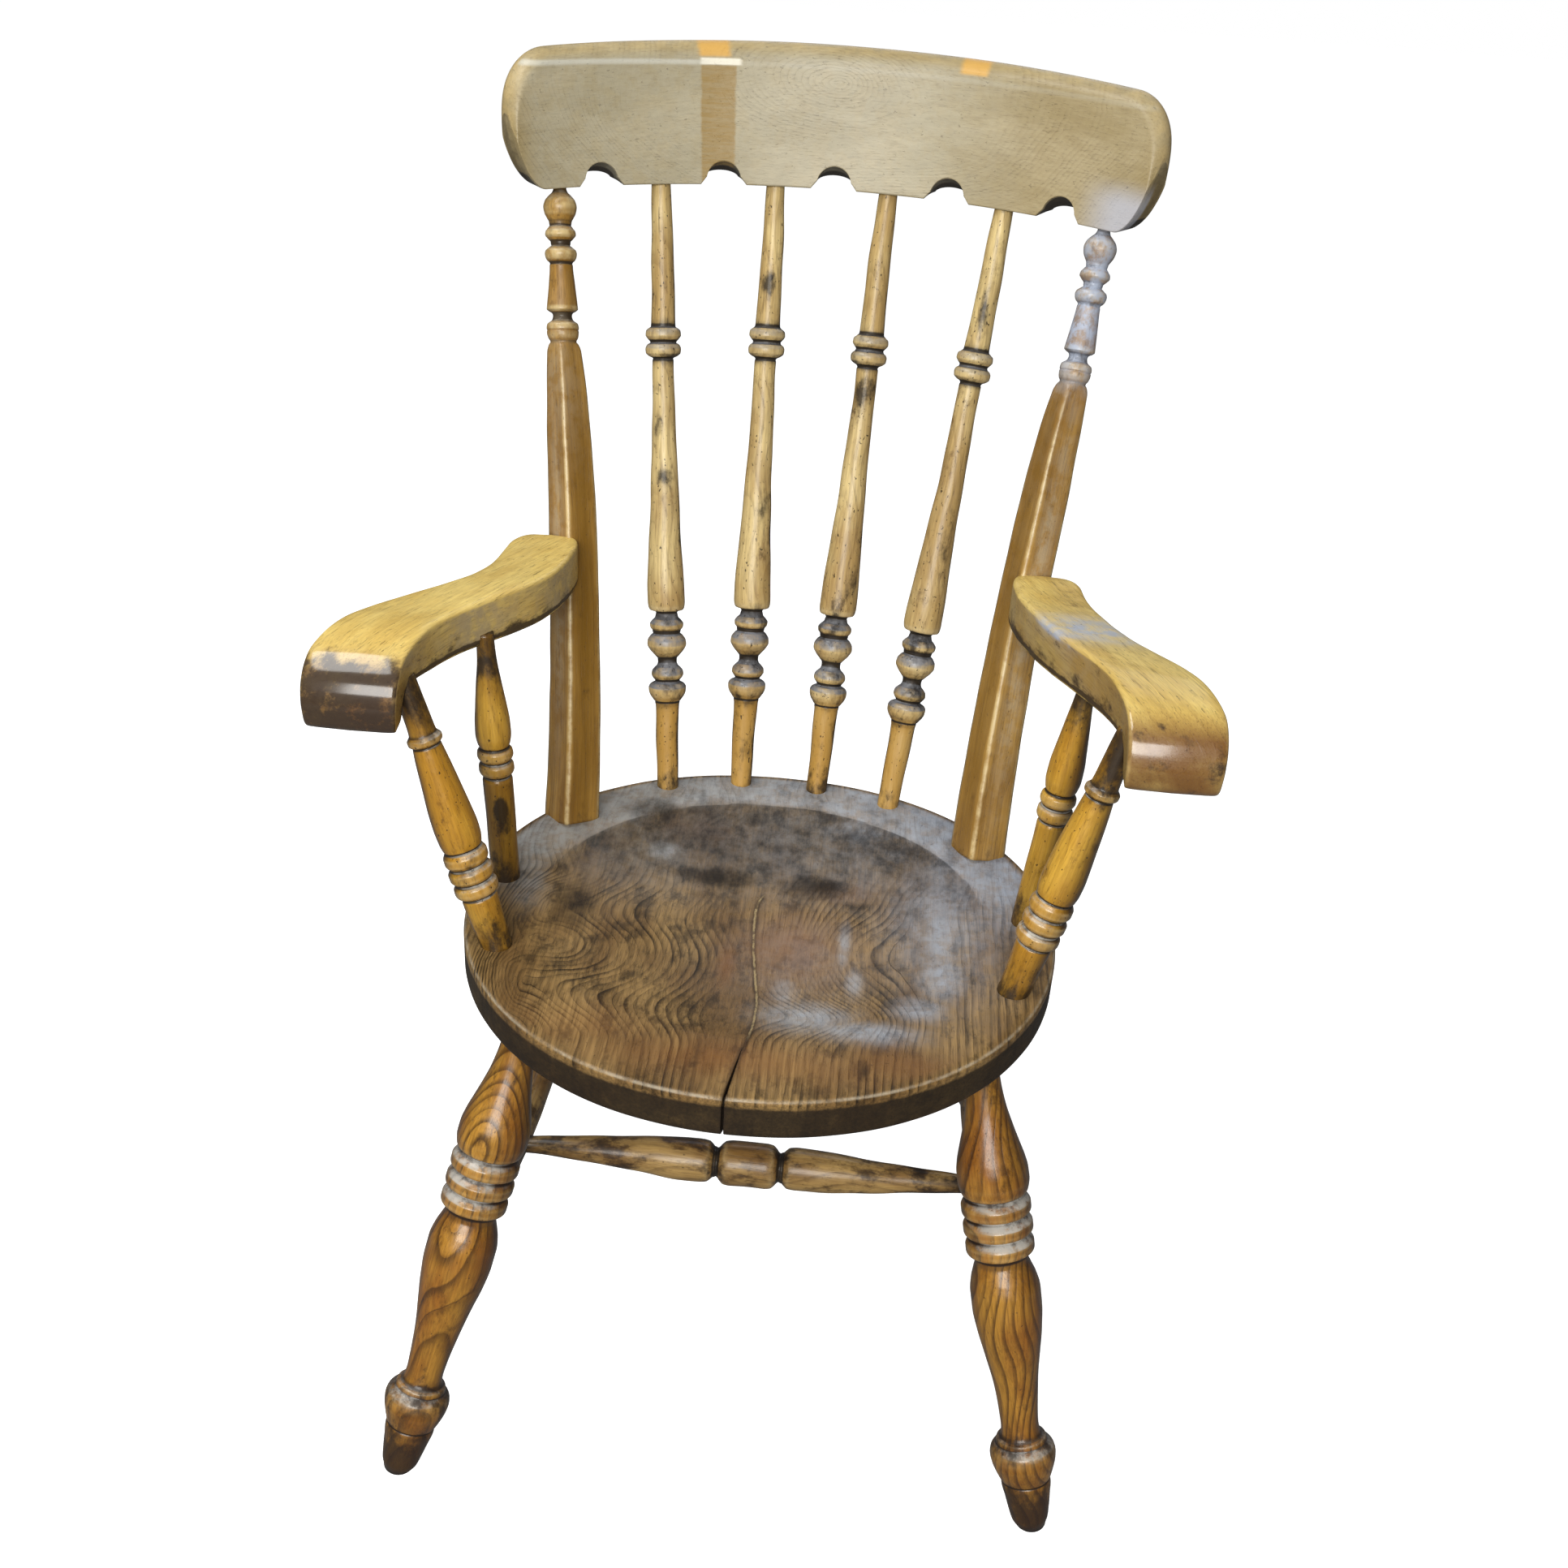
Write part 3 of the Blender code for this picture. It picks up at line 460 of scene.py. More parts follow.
def dishDepth(x, y):  # a bowl with a soft lip: full depth in the middle, none from the lip outwards
    g = seatShape
    deep = np.where(y < g["dishY"], g["dishFront"], g["dishBack"])
    rho = np.hypot(x / g["dishX"], (y - g["dishY"]) / deep)
    inside = np.clip(1.0 - rho ** 3.2, 0.0, 1.0) ** 1.15
    saddle = 1.0 - 0.16 * np.exp(-(x / 0.035) ** 2) * np.clip(-(y + 0.02) / 0.12, 0.0, 1.0)
    return g["dishDepth"] * inside * saddle


def splitPlace(y):
    line = np.asarray(seatSplit["line"])
    return np.interp(y, line[:, 0], line[:, 1])


def gathered(x, y, spots, summed=False):  # soft round spots, the strongest of them or their sum
    total = np.zeros_like(x)
    for spotX, spotY, reachX, reachY, strength in spots:
        spot = strength * np.exp(-((x - spotX) / reachX) ** 2 - ((y - spotY) / reachY) ** 2)
        total = total + spot if summed else np.maximum(total, spot)
    return total


# Rings of points: the dished top outwards from its middle, over the arris, down the edge and in below.
def makeSeat(material):
    g = seatShape
    base = np.linspace(-np.pi * 1.5, np.pi * 0.5, seatMesh["columns"], endpoint=False)
    reach = seatMesh["splitReach"]
    near = -np.pi / 2 + np.linspace(-reach, reach, seatMesh["splitColumns"])
    angle = np.sort(np.concatenate([base[np.abs(base + np.pi / 2) > reach + 0.001], near]))
    quarter = np.linspace(0, np.pi / 2, 9)
    insets = np.concatenate([g["arris"] * (1 - np.sin(quarter)), np.zeros(16),
                             [0.0003, 0.0012, 0.0028, 0.0050, 0.0080]])
    drops = np.concatenate([g["arris"] * (1 - np.cos(quarter)), np.linspace(0.0055, 0.0300, 16),
                            [0.0318, 0.0338, 0.0356, 0.0370, g["thick"]]])
    parts = np.linspace(0.004, 0.975, seatMesh["topRings"])
    edgeX, edgeY = seatOutline(angle, g["arris"])
    topX = edgeX * parts[:, None]
    topY = g["middleY"] + (edgeY - g["middleY"]) * parts[:, None]
    rimX, rimY = zip(*[seatOutline(angle, inset) for inset in insets])
    inwards = np.linspace(0.96, 0.01, seatMesh["underRings"])[:, None]
    x = np.concatenate([topX, np.stack(rimX), rimX[-1] * inwards])
    y = np.concatenate([topY, np.stack(rimY), g["middleY"] + (rimY[-1] - g["middleY"]) * inwards])
    edgeDrop = np.broadcast_to(drops[:, None], (len(drops), len(angle)))
    drop = np.concatenate([dishDepth(topX, topY), edgeDrop, np.full((len(inwards), len(angle)),
        g["thick"])])
    row = np.arange(x.shape[0])[:, None]
    top, edge = row < len(parts), (row >= len(parts) + 6) & (row < len(parts) + len(insets))
    uneven = 0.0005 * np.sin(x * 31 + 1.2) * np.sin(y * 27) + 0.00025 * np.sin(x * 90 + y * 70)
    z = seatPlane(y) - drop + uneven * np.where(top, 1.0, 0.3)
    # the open split: a notch that deepens towards the edge
    away = np.abs(x - splitPlace(y))
    width = seatSplit["halfWidth"] * np.clip((seatSplit["openTo"] - y) / 0.05, 0.0, 1.0) ** 0.6
    notch = np.clip(1.0 - away / np.maximum(width, 1e-6), 0.0, 1.0) ** 0.55 * (width > 0)
    deep = seatSplit["depth"] * np.clip((seatSplit["openTo"] - y) / 0.07, 0.1, 1.0)
    z = z - np.where(top | (~edge & (drop < 0.006)), notch * deep, 0.0)
    y = y + np.where(edge, notch * 0.006, 0.0)
    # growth lines run from front to back, swing at the figure's places, and circle a heart on the left
    growth = x + gathered(x, y, seatFigure, True)
    loops = np.hypot(x - seatLoops["x"],
                     seatLoops["flat"] * (y - seatLoops["y"])) + seatLoops["x"] + seatLoops["shift"]
    fade = np.clip(np.minimum(y - seatLoops["from"], seatLoops["to"] - y) / seatLoops["soft"], 0.0, 1.0)
    fade = fade * np.clip((0.012 - x) / 0.04, 0.0, 1.0) * np.clip((x + 0.225) / 0.05, 0.0, 1.0)
    growth = growth + (0.92 * loops - growth) * fade * fade * (3 - 2 * fade)
    growth = growth + 0.008 * np.sin(x * 46 + 0.7) * np.sin(y * 41 + 2.0) * np.clip((y + 0.03) / 0.06, 0, 1)
    side = np.where(top, 0.0, 1.0)
    hollow = -0.7 * np.exp(-((drop - 0.0012) / 0.0009) ** 2) * side + notch * 2.0
    below = np.clip((drop - 0.0050) / 0.0040, 0.0, 1.0) * side
    back = np.clip((y + 0.01) / 0.10, 0.0, 1.0) * (1 - side)
    rim = np.clip((np.hypot(x / 0.192, (y + 0.03) / 0.19) - 0.97) / 0.10, 0.0, 1.0) * (1 - side)
    dirtAndShade = np.maximum(below, np.maximum(gathered(x, y, seatStains) * (1 - side),
                                        0.42 * back + 0.30 * (rim < 0.2) * (1 - side)))
    dirtAndShade = dirtAndShade - 0.35 * rim * np.clip((-0.10 - y) / 0.08, 0.0, 1.0)
    calm = np.clip(gathered(x, y, seatCalm) + 0.45 * np.clip((y - 0.00) / 0.05, 0.0, 1.0), 0.0,
                   0.88) * (1 - side)
    calm = np.maximum(calm, 0.75 * below)
    # painted grey-blue sheen: the sheen spots and the back of the rim grey over, bluer towards the right
    bleachAndSheen = gathered(x, y, seatSheen) * (1 - side) + 0.85 * rim * np.clip((y + 0.05) / 0.12, 0.0, 1.0)
    marks = {"grain": np.stack([x, z, y], -1), "growth": growth, "hollow": hollow,
             "dirtAndShade": np.clip(dirtAndShade, 0.0, 1.0),
             "bleachAndSheen": np.clip(1.25 * bleachAndSheen, 0.0, 0.95),
             "coldSheen": np.clip(0.4 + 3 * x, 0.0, 1.0), "tone": gathered(x, y, seatTone) * (1 - side),
             "calm": calm}
    marks = {key: np.ascontiguousarray(value[::-1]) for key, value in marks.items()}
    return gridPiece("seatBoard", np.stack([x, y, z], -1)[::-1], marks, material, ["seat"])


# The filled part of the split is a pale thread along a curve of x over y, with a darker hem each side.
def seatExtras(tree, grain, colour, height):
    split = addNode(tree, "ShaderNodeSeparateXYZ", None, {0: grain})
    wobble = times(tree, minus(tree, noise(tree, grain, 260.0, 3.0, 0.6), 0.5), 0.0018)
    curve = tree.nodes.new("ShaderNodeFloatCurve")
    line = curve.mapping.curves[0]
    spots = [((y + 0.30) / 0.32, 0.5 + x * 20.0) for y, x in seatSplit["line"]]
    while len(line.points) < len(spots):
        line.points.new(0.5, 0.5)
    for point, (place, value) in zip(line.points, spots):
        point.location = (place, value)
        point.handle_type = "AUTO"
    curve.mapping.update()
    tree.links.new(calc(tree, "DIVIDE", plus(tree, split.outputs[2], 0.30), 0.32), curve.inputs["Value"])
    centre = calc(tree, "DIVIDE", minus(tree, curve.outputs[0], 0.5), 20.0)
    away = calc(tree, "ABSOLUTE", minus(tree, plus(tree, split.outputs[0], wobble), centre))
    onTop = times(tree, ease(tree, split.outputs[2], 0.008, 0.018, 1.0, 0.0),
                  ease(tree, split.outputs[1], 0.400, 0.415))
    behind = ease(tree, split.outputs[2], -0.205, -0.180)
    filled = times(tree, ease(tree, away, 0.0005, 0.0012, 1.0, 0.0), times(tree, onTop, behind))
    patchy = ease(tree, noise(tree, grain, 90.0, 3.0, 0.6, (1, 1, 1), 31.0), 0.38, 0.56, 0.12, 0.70)
    hem = times(tree, ease(tree, away, 0.0008, 0.0036, 0.55, 0.0), onTop)
    colour = tint(tree, hem, colour, shade(38, 27, 20))
    colour = tint(tree, times(tree, filled, patchy), colour, shade(184, 162, 118))
    height = minus(tree, height, times(tree, hem, 1.2))
    return colour, height


seatWood = woodFinish("seatElm", {
    "pale": shade(164, 132, 82), "warm": shade(124, 94, 54), "dark": shade(24, 16, 8),
    "grime": shade(26, 20, 14), "worn": shade(190, 178, 156), "hazy": shade(176, 176, 174),
    "coldSheen": shade(166, 173, 186), "rings": 150.0, "ringStrength": 0.96, "lateWidth": 0.62,
    "eachLeast": 0.35, "rich": shade(136, 90, 44), "hazeLeast": 0.62, "hazeLines": 0.45, "dirtRagged": 0.9,
    "dirtFrom": 0.20, "dirtFull": 1.00, "specular": 0.20, "breakLeast": 0.35, "breakScale": 26.0,
    "bend": 0.011, "bendScale": 22.0, "fray": 0.0018, "fibreScale": (430.0, 430.0, 10.0), "fibreDark": 0.40,
    "poreScale": (900.0, 900.0, 34.0), "poreFrom": 0.56, "poreStrength": 0.6, "patchFrom": 0.50,
    "patchStrength": 0.50, "blotchScale": 15.0, "wear": 0.60, "grimeFrom": 0.12, "speck": 0.30,
    "rough": 0.50, "coat": 0.10, "coatRough": 0.26, "dents": 2.2, "poreRelief": 0.6, "ringRelief": 0.7,
    "relief": 0.00045, "dirtStrength": 0.90,
}, seatExtras)
makeSeat(seatWood)
print("seat made")

# Legs

legTurning = [
    (0, 13.2), (4, 15.0), (14, 17.0), (26, 18.9), (37, 20.6), (40, 20.4), (43, 21.6), (51, 24.6),
    (58, 26.6), (64, 27.3), (69, 26.4), (73, 23.6), (75, 21.4), (76.5, 21.0), (78.5, 20.4), (80, 18.0),
    (84, 16.2), (90, 15.7), (100, 16.2), (126, 18.6), (156, 23.4), (176, 26.8), (196, 28.8), (210, 28.8),
    (222, 26.8), (231, 23.8), (237, 22.0), (240, 22.0), (242.5, 23.2), (244.2, 26.8), (247, 28.0),
    (252, 28.0), (254, 27.2), (258, 24.2), (259.6, 23.6), (261.2, 27.4), (264, 28.5), (269, 28.5),
    (271, 27.6), (275, 24.4), (276.6, 23.8), (278.2, 27.5), (281, 28.6), (286, 28.6), (288, 27.8),
    (292, 24.6), (293.6, 24.0), (295.4, 26.6), (299, 28.0), (306, 29.2), (314, 29.1), (324, 27.6),
    (336, 24.4), (350, 20.6), (368, 16.8), (390, 14.4), (412, 13.4), (430, 13.2),
]
legLook = {
    "left": {
        "foot": (-0.2668, -0.2618, 0.0), "top": (-0.1737, -0.1160, 0.4), "seed": 3,
        "pith": (0.004, -0.052, 0.02, 0.31), "figure": 0.003,
    },
    "right": {
        "foot": (0.2683, -0.2545, 0.0), "top": (0.1812, -0.1110, 0.4), "seed": 8,
        "pith": (-0.055, 0.030, -0.05, -0.16), "figure": 0.006,
    },
    "rearLeft": {
        "foot": (-0.2300, 0.2700, 0.0), "top": (-0.1500, 0.1200, 0.396), "seed": 14,
        "pith": (0.05, 0.05, 0.12, 0.1), "figure": 0.007,
    },
    "rearRight": {
        "foot": (0.2300, 0.2700, 0.0), "top": (0.1500, 0.1200, 0.396), "seed": 19,
        "pith": (-0.04, 0.06, 0.08, 0.06), "figure": 0.007,
    },
}
legWood = woodFinish("legAsh", {
    "pale": shade(192, 140, 54), "warm": shade(158, 100, 32), "dark": shade(52, 28, 9),
    "grime": shade(33, 19, 10), "worn": shade(206, 176, 120), "hazy": shade(190, 186, 178),
    "rich": shade(58, 31, 11), "hazeLeast": 0.15, "rings": 140.0, "ringStrength": 0.88, "lateWidth": 0.50,
    "eachLeast": 0.5, "bend": 0.014, "bendScale": 15.0, "fray": 0.0012, "fibreDark": 0.36,
    "poreStrength": 0.5, "patchFrom": 0.54, "patchStrength": 0.60, "wear": 0.35, "grimeStrength": 0.97,
    "speck": 0.55, "rough": 0.38, "coat": 0.4, "coatRough": 0.20, "dirtStrength": 0.85,
})
legCommon = {
    "columns": 60, "figureLength": 0.13, "floor": True,
    "cuts": ((243.4, 1.2, 0.8), (260.2, 1.0, 0.7), (277.2, 1.0, 0.7), (294.2, 1.0, 0.8), (40.2, 0.5, 0.8)),
    "dirtAndShade": (
        (0, 0.95), (26, 0.88), (36, 0.72), (44, 0.42), (60, 0.46), (74, 0.62), (84, 0.50), (120, 0.30),
        (200, 0.18), (232, 0.42), (300, 0.30), (330, 0.20), (380, 0.45), (430, 0.60),
    ),
    "tone": (
        (0, 0.62), (44, 0.48), (60, 0.22), (84, 0.20), (170, 0.14), (230, 0.06), (300, 0.0), (360, 0.12),
        (400, 0.35), (440, 0.5),
    ),
    # painted shade: the stains at 8 and 176 degrees darken the leg's left and right edges
    "shadeAndStain": (
        (300, 8, 200, 0.45, 0.8), (300, 176, 220, 0.85, 1.0), (120, 176, 120, 0.80, 1.0),
        (120, 8, 100, 0.45, 0.7),
    ),
    "dustAndSheen": (
        (50, 0), (58, 0.75), (76, 0.75), (82, 0), (238, 0), (244, 0.88), (290, 0.88), (300, 0.15), (310, 0),
    ),
}
for key, node in (("left", "leg_front_left"), ("right", "leg_front_right"), ("rearLeft", "leg_rear_left"),
                  ("rearRight", "leg_rear_right")):
    own = legLook[key]
    turnedPiece("leg" + key[0].upper() + key[1:], own["foot"], own["top"], legTurning, {**legCommon, **own},
                legWood, [node])
print("legs made")

# Back posts

postTurning = [
    (-4, 18.2), (0.0, 18.2), (77, 17.2), (150, 16.4), (263, 15.6), (319, 14.8), (374, 13.2), (404, 11.6),
    (412, 11.0), (414, 11.2), (416.5, 12.6), (420, 13.4), (425, 13.6), (428, 13.0), (430.5, 10.4),
    (432, 8.6), (435, 7.9), (437, 8.6), (438.8, 11.6), (440.5, 13.2), (444, 12.9), (462, 11.0), (476, 9.8),
    (478.6, 9.8), (480.4, 11.6), (483, 13.0), (486, 13.5), (488.6, 12.8), (491, 10.0), (493, 8.3),
    (495.5, 8.4), (498, 10.6), (501.4, 13.0), (504, 12.6), (507, 10.4), (509.4, 9.3), (512, 9.6),
    (515, 11.2), (519, 13.2), (524, 14.1), (529, 12.8), (533, 9.6), (536, 6.6), (539, 5.6), (546, 5.6),
]
postLook = {
    "left": {
        "foot": (-0.1830, 0.1057, 0.4299), "top": (-0.2234, 0.2841, 0.9375), "seed": 23,
        "turn": math.radians(45), "bow": (0.006, 0.42), "pith": (0.08, 0.03, 0.02, 0.03),
        # painted light on the outer face and the top, painted shade on the face turned in
        "fade": ((230, 45, 150, 0.55, 0.60), (380, 60, 60, 1.5, 0.35)),
        "patch": ((200, 135, 260, 0.60, 0.36),), "shadeAndStain": ((210, 135, 330, 0.78, 1.0),),
    },
    "right": {
        "foot": (0.1822, 0.1057, 0.4299), "top": (0.2339, 0.2823, 0.9375), "seed": 29,
        "turn": math.radians(28), "bow": (-0.006, 0.42), "pith": (-0.08, 0.05, 0.02, 0.02),
        # painted bluish reflection on the top turning, painted light on the outer face, painted shade on
        # the inner
        "bleachAndSheen": ((0, 0.0), (395, 0.10), (425, 0.75), (455, 0.95), (540, 0.90)),
        "coldSheen": ((380, 0), (440, 1), (540, 0.8)), "fade": ((230, 118, 170, 0.55, 0.65),),
        "patch": ((200, 28, 260, 0.60, 0.42), (150, 118, 120, 0.6, 0.34)),
        "shadeAndStain": ((210, 28, 330, 0.78, 0.9),),
    },
}
postCommon = {
    "squared": True, "columns": 88, "wander": 0.0003, "figure": 0.002,
    "powers": ((-4, 18), (319, 16.0), (374, 12.0), (406, 8.0), (413, 2.0), (560, 2.0)),
    "cuts": ((430.6, 0.5, 0.9), (477.6, 0.5, 0.8), (492.6, 0.5, 0.8), (508.6, 0.4, 0.8), (423.0, 0.5, 0.6)),
    "dirtAndShade": (
        (0, 0.45), (14, 0.22), (60, 0.14), (380, 0.20), (412, 0.34), (432, 0.42), (470, 0.30), (540, 0.42),
    ),
    "dustAndSheen": ((410, 0), (416, 0.45), (540, 0.45)),
}
postWood = woodFinish("postBeech", {
    "pale": shade(190, 148, 74), "warm": shade(154, 112, 46), "dark": shade(84, 56, 22),
    "grime": shade(34, 25, 17), "worn": shade(222, 202, 150), "hazy": shade(186, 172, 146), "rings": 95.0,
    "ringStrength": 0.30, "lateWidth": 0.55, "rich": shade(122, 88, 26), "hazeLeast": 0.3, "bend": 0.010,
    "fibreDark": 0.42, "poreStrength": 0.40, "patchFrom": 0.56, "patchStrength": 0.45, "wear": 0.62,
    "speck": 0.35, "rough": 0.44, "coat": 0.3, "coatRough": 0.25, "blotchScale": 14.0, "dirtStrength": 0.62,
})
for key in ("left", "right"):
    own = postLook[key]
    turnedPiece("post" + key.capitalize(), own["foot"], own["top"], postTurning, {**postCommon, **own},
                postWood, ["back_post_" + key])
print("posts made")

# Spindles

spindleTurning = [
    (-4, 9.8), (0, 9.8), (40, 10.4), (76, 11.0), (79, 11.6), (82.4, 13.2), (86, 15.6), (90, 17.0),
    (93.5, 17.2), (96.4, 15.8), (98.6, 12.6), (100.4, 11.8), (102.4, 13.2), (105.4, 14.6), (108.6, 14.2),
    (111.6, 12.0), (114, 9.6), (117, 8.7), (120, 8.9), (123, 11.2), (128, 15.4), (133, 17.8), (137, 17.4),
    (141, 15.0), (144, 12.8), (146, 13.0), (149, 15.0), (152, 15.4), (155, 13.6), (158, 10.8), (161, 10.2),
    (163.4, 10.8), (165, 15.4), (168, 16.6), (172, 17.0), (180, 16.9), (247, 13.4), (318, 10.9), (384, 9.6),
    (386.6, 9.8), (388.4, 13.0), (391, 15.6), (394.6, 16.0), (398, 14.6), (400.6, 12.2), (403, 14.0),
    (406, 15.8), (409.6, 15.4), (412, 13.4), (413.6, 11.2), (416, 10.8), (480, 9.6), (532, 8.2), (540, 8.0),
]
spindleLook = (
    {
        "foot": (-0.1050, 0.1745), "top": (-0.1432, 0.3270), "seed": 33,
        "patch": ((330, 66, 26, 0.7, 0.6), (285, 95, 14, 0.9, 0.75), (150, 84, 30, 1.4, 0.35)),
    },
    {
        "foot": (-0.0384, 0.1935), "top": (-0.0462, 0.3518), "seed": 41,
        "patch": (
            (452, 84, 14, 1.0, 0.9), (262, 118, 30, 0.8, 0.7), (30, 89, 50, 2.5, 0.5),
            (470, 49, 30, 0.6, 0.5),
        ),
    },
    {
        "foot": (0.0324, 0.1935), "top": (0.0522, 0.3521), "seed": 47,
        "patch": ((365, 84, 22, 2.2, 0.8), (200, 124, 34, 0.8, 0.65), (450, 118, 40, 0.5, 0.5)),
    },
    {
        "foot": (0.1000, 0.1745), "top": (0.1522, 0.3265), "seed": 55,
        "patch": ((250, 118, 60, 0.8, 0.65), (450, 84, 40, 0.7, 0.7), (170, 84, 16, 1.6, 0.5)),
    },
)
spindleCommon = {
    "dustAndSheenFrom": 0.16, "columns": 44, "uneven": 0.00030, "wander": 0.0006, "pith": (0.03, 0.02, 0.06, 0.02),
    "figure": 0.004, "figureLength": 0.10,
    "cuts": (
        (80.6, 0.6, 0.9), (99.6, 1.0, 0.9), (143.6, 0.6, 0.8), (162.6, 0.5, 1.0), (387.2, 0.6, 0.9),
        (400.6, 0.9, 0.9), (413.8, 0.5, 0.9),
    ),
    "dirtAndShade": (
        (0, 0.66), (30, 0.40), (70, 0.34), (84, 0.50), (100, 0.50), (118, 0.62), (130, 0.42), (160, 0.60),
        (170, 0.38), (230, 0.26), (360, 0.24), (386, 0.42), (416, 0.34), (500, 0.20), (540, 0.44),
    ),
    "tone": ((-10, 0.95), (78, 0.85), (90, 0.35), (160, 0.30), (166, 0.10), (380, 0.0), (600, 0.0)),
    # painted shade down the spindles' left and right edges, laid on as patchy dirt
    "edgeShade": (
        (40, 0, 70, 0.5, 0.9), (40, 176, 70, 0.6, 0.95), (240, 176, 70, 0.5, 0.75),
        (450, 176, 80, 0.5, 0.75),
    ),
    "dustAndSheen": ((80, 0), (86, 0.95), (160, 0.95), (164, 0.1), (386, 0.1), (390, 0.5), (412, 0.5), (416, 0)),
}
spindleWood = woodFinish("spindleBeech", {
    "pale": shade(224, 200, 140), "warm": shade(184, 154, 98), "dark": shade(104, 76, 40),
    "grime": shade(28, 22, 17), "worn": shade(226, 210, 168), "hazy": shade(122, 124, 130),
    "rich": shade(180, 138, 64), "hazeLeast": 0.5, "rings": 120.0, "ringStrength": 0.34, "lateWidth": 0.42,
    "bend": 0.014, "fibreDark": 0.34, "poreStrength": 0.45, "poreFrom": 0.60, "patchFrom": 0.56,
    "patchStrength": 0.60, "wear": 0.30, "grimeFrom": 0.05, "grimeFull": 0.42, "grimeStrength": 0.97,
    "speck": 0.80, "speckFrom": 0.66, "rough": 0.46, "coat": 0.25, "dirtStrength": 0.90,
})
for number, own in enumerate(spindleLook, 1):
    footAt = (*own["foot"], seatPlane(own["foot"][1]))
    topAt = (*own["top"], 0.9395)
    length = math.dist(footAt, topAt)
    turning = [(place * length / 0.534 if place > 0 else place, radius) for place, radius in spindleTurning]
    turnedPiece("spindle" + str(number), footAt, topAt, turning, {**spindleCommon, **own}, spindleWood,
                ["back_spindle_" + str(number)])
print("spindles made")

# Crest rail

crestShape = {
    "arc": 0.400, "arcX": 0.004, "arcY": -0.045, "bottom": 0.9395, "tall": 0.104, "thick": 0.026,
    "lean": 0.22, "end": 0.284, "topCorner": 0.040, "lowCorner": 0.025, "middle": 0.058, "cap": 0.011,
    "edge": 0.0016, "scallops": (-0.208, -0.0975, 0.0005, 0.102, 0.2055), "scallopRadius": 0.0155,
    "scallopRise": 0.0028, "shoulder": 0.0205, "shoulderRise": 0.0062, "sawSlope": 0.42,
}


def crestCurl(s, start):
    k = np.clip((np.abs(s) - start) / (crestShape["end"] - start), 0.0, 1.0)
    return 1.0 - np.sqrt(np.maximum(0.0, 1.0 - k * k))


def crestEdges(s):  # lower and upper edge over the distance along the arc
    g = crestShape
    high = g["tall"] + 0.008 * (1 - (s / g["end"]) ** 2)
    upper = high - (high - g["middle"]) * crestCurl(s, g["end"] - g["topCorner"])
    lower = g["middle"] * crestCurl(s, g["end"] - g["lowCorner"])
    for centre in g["scallops"]:
        d = np.abs(s - centre)
        arch = g["scallopRise"] + np.sqrt(np.maximum(0.0, g["scallopRadius"] ** 2 - d ** 2))
        wide = g["shoulder"] - g["scallopRadius"] + 0.0004
        slope = g["shoulderRise"] * np.clip((g["shoulder"] - d) / wide, 0.0, 1.0)
        lower = np.where(d < g["scallopRadius"] - 0.0004, np.maximum(arch, g["shoulderRise"]),
                         np.maximum(lower, slope))
    return lower, upper


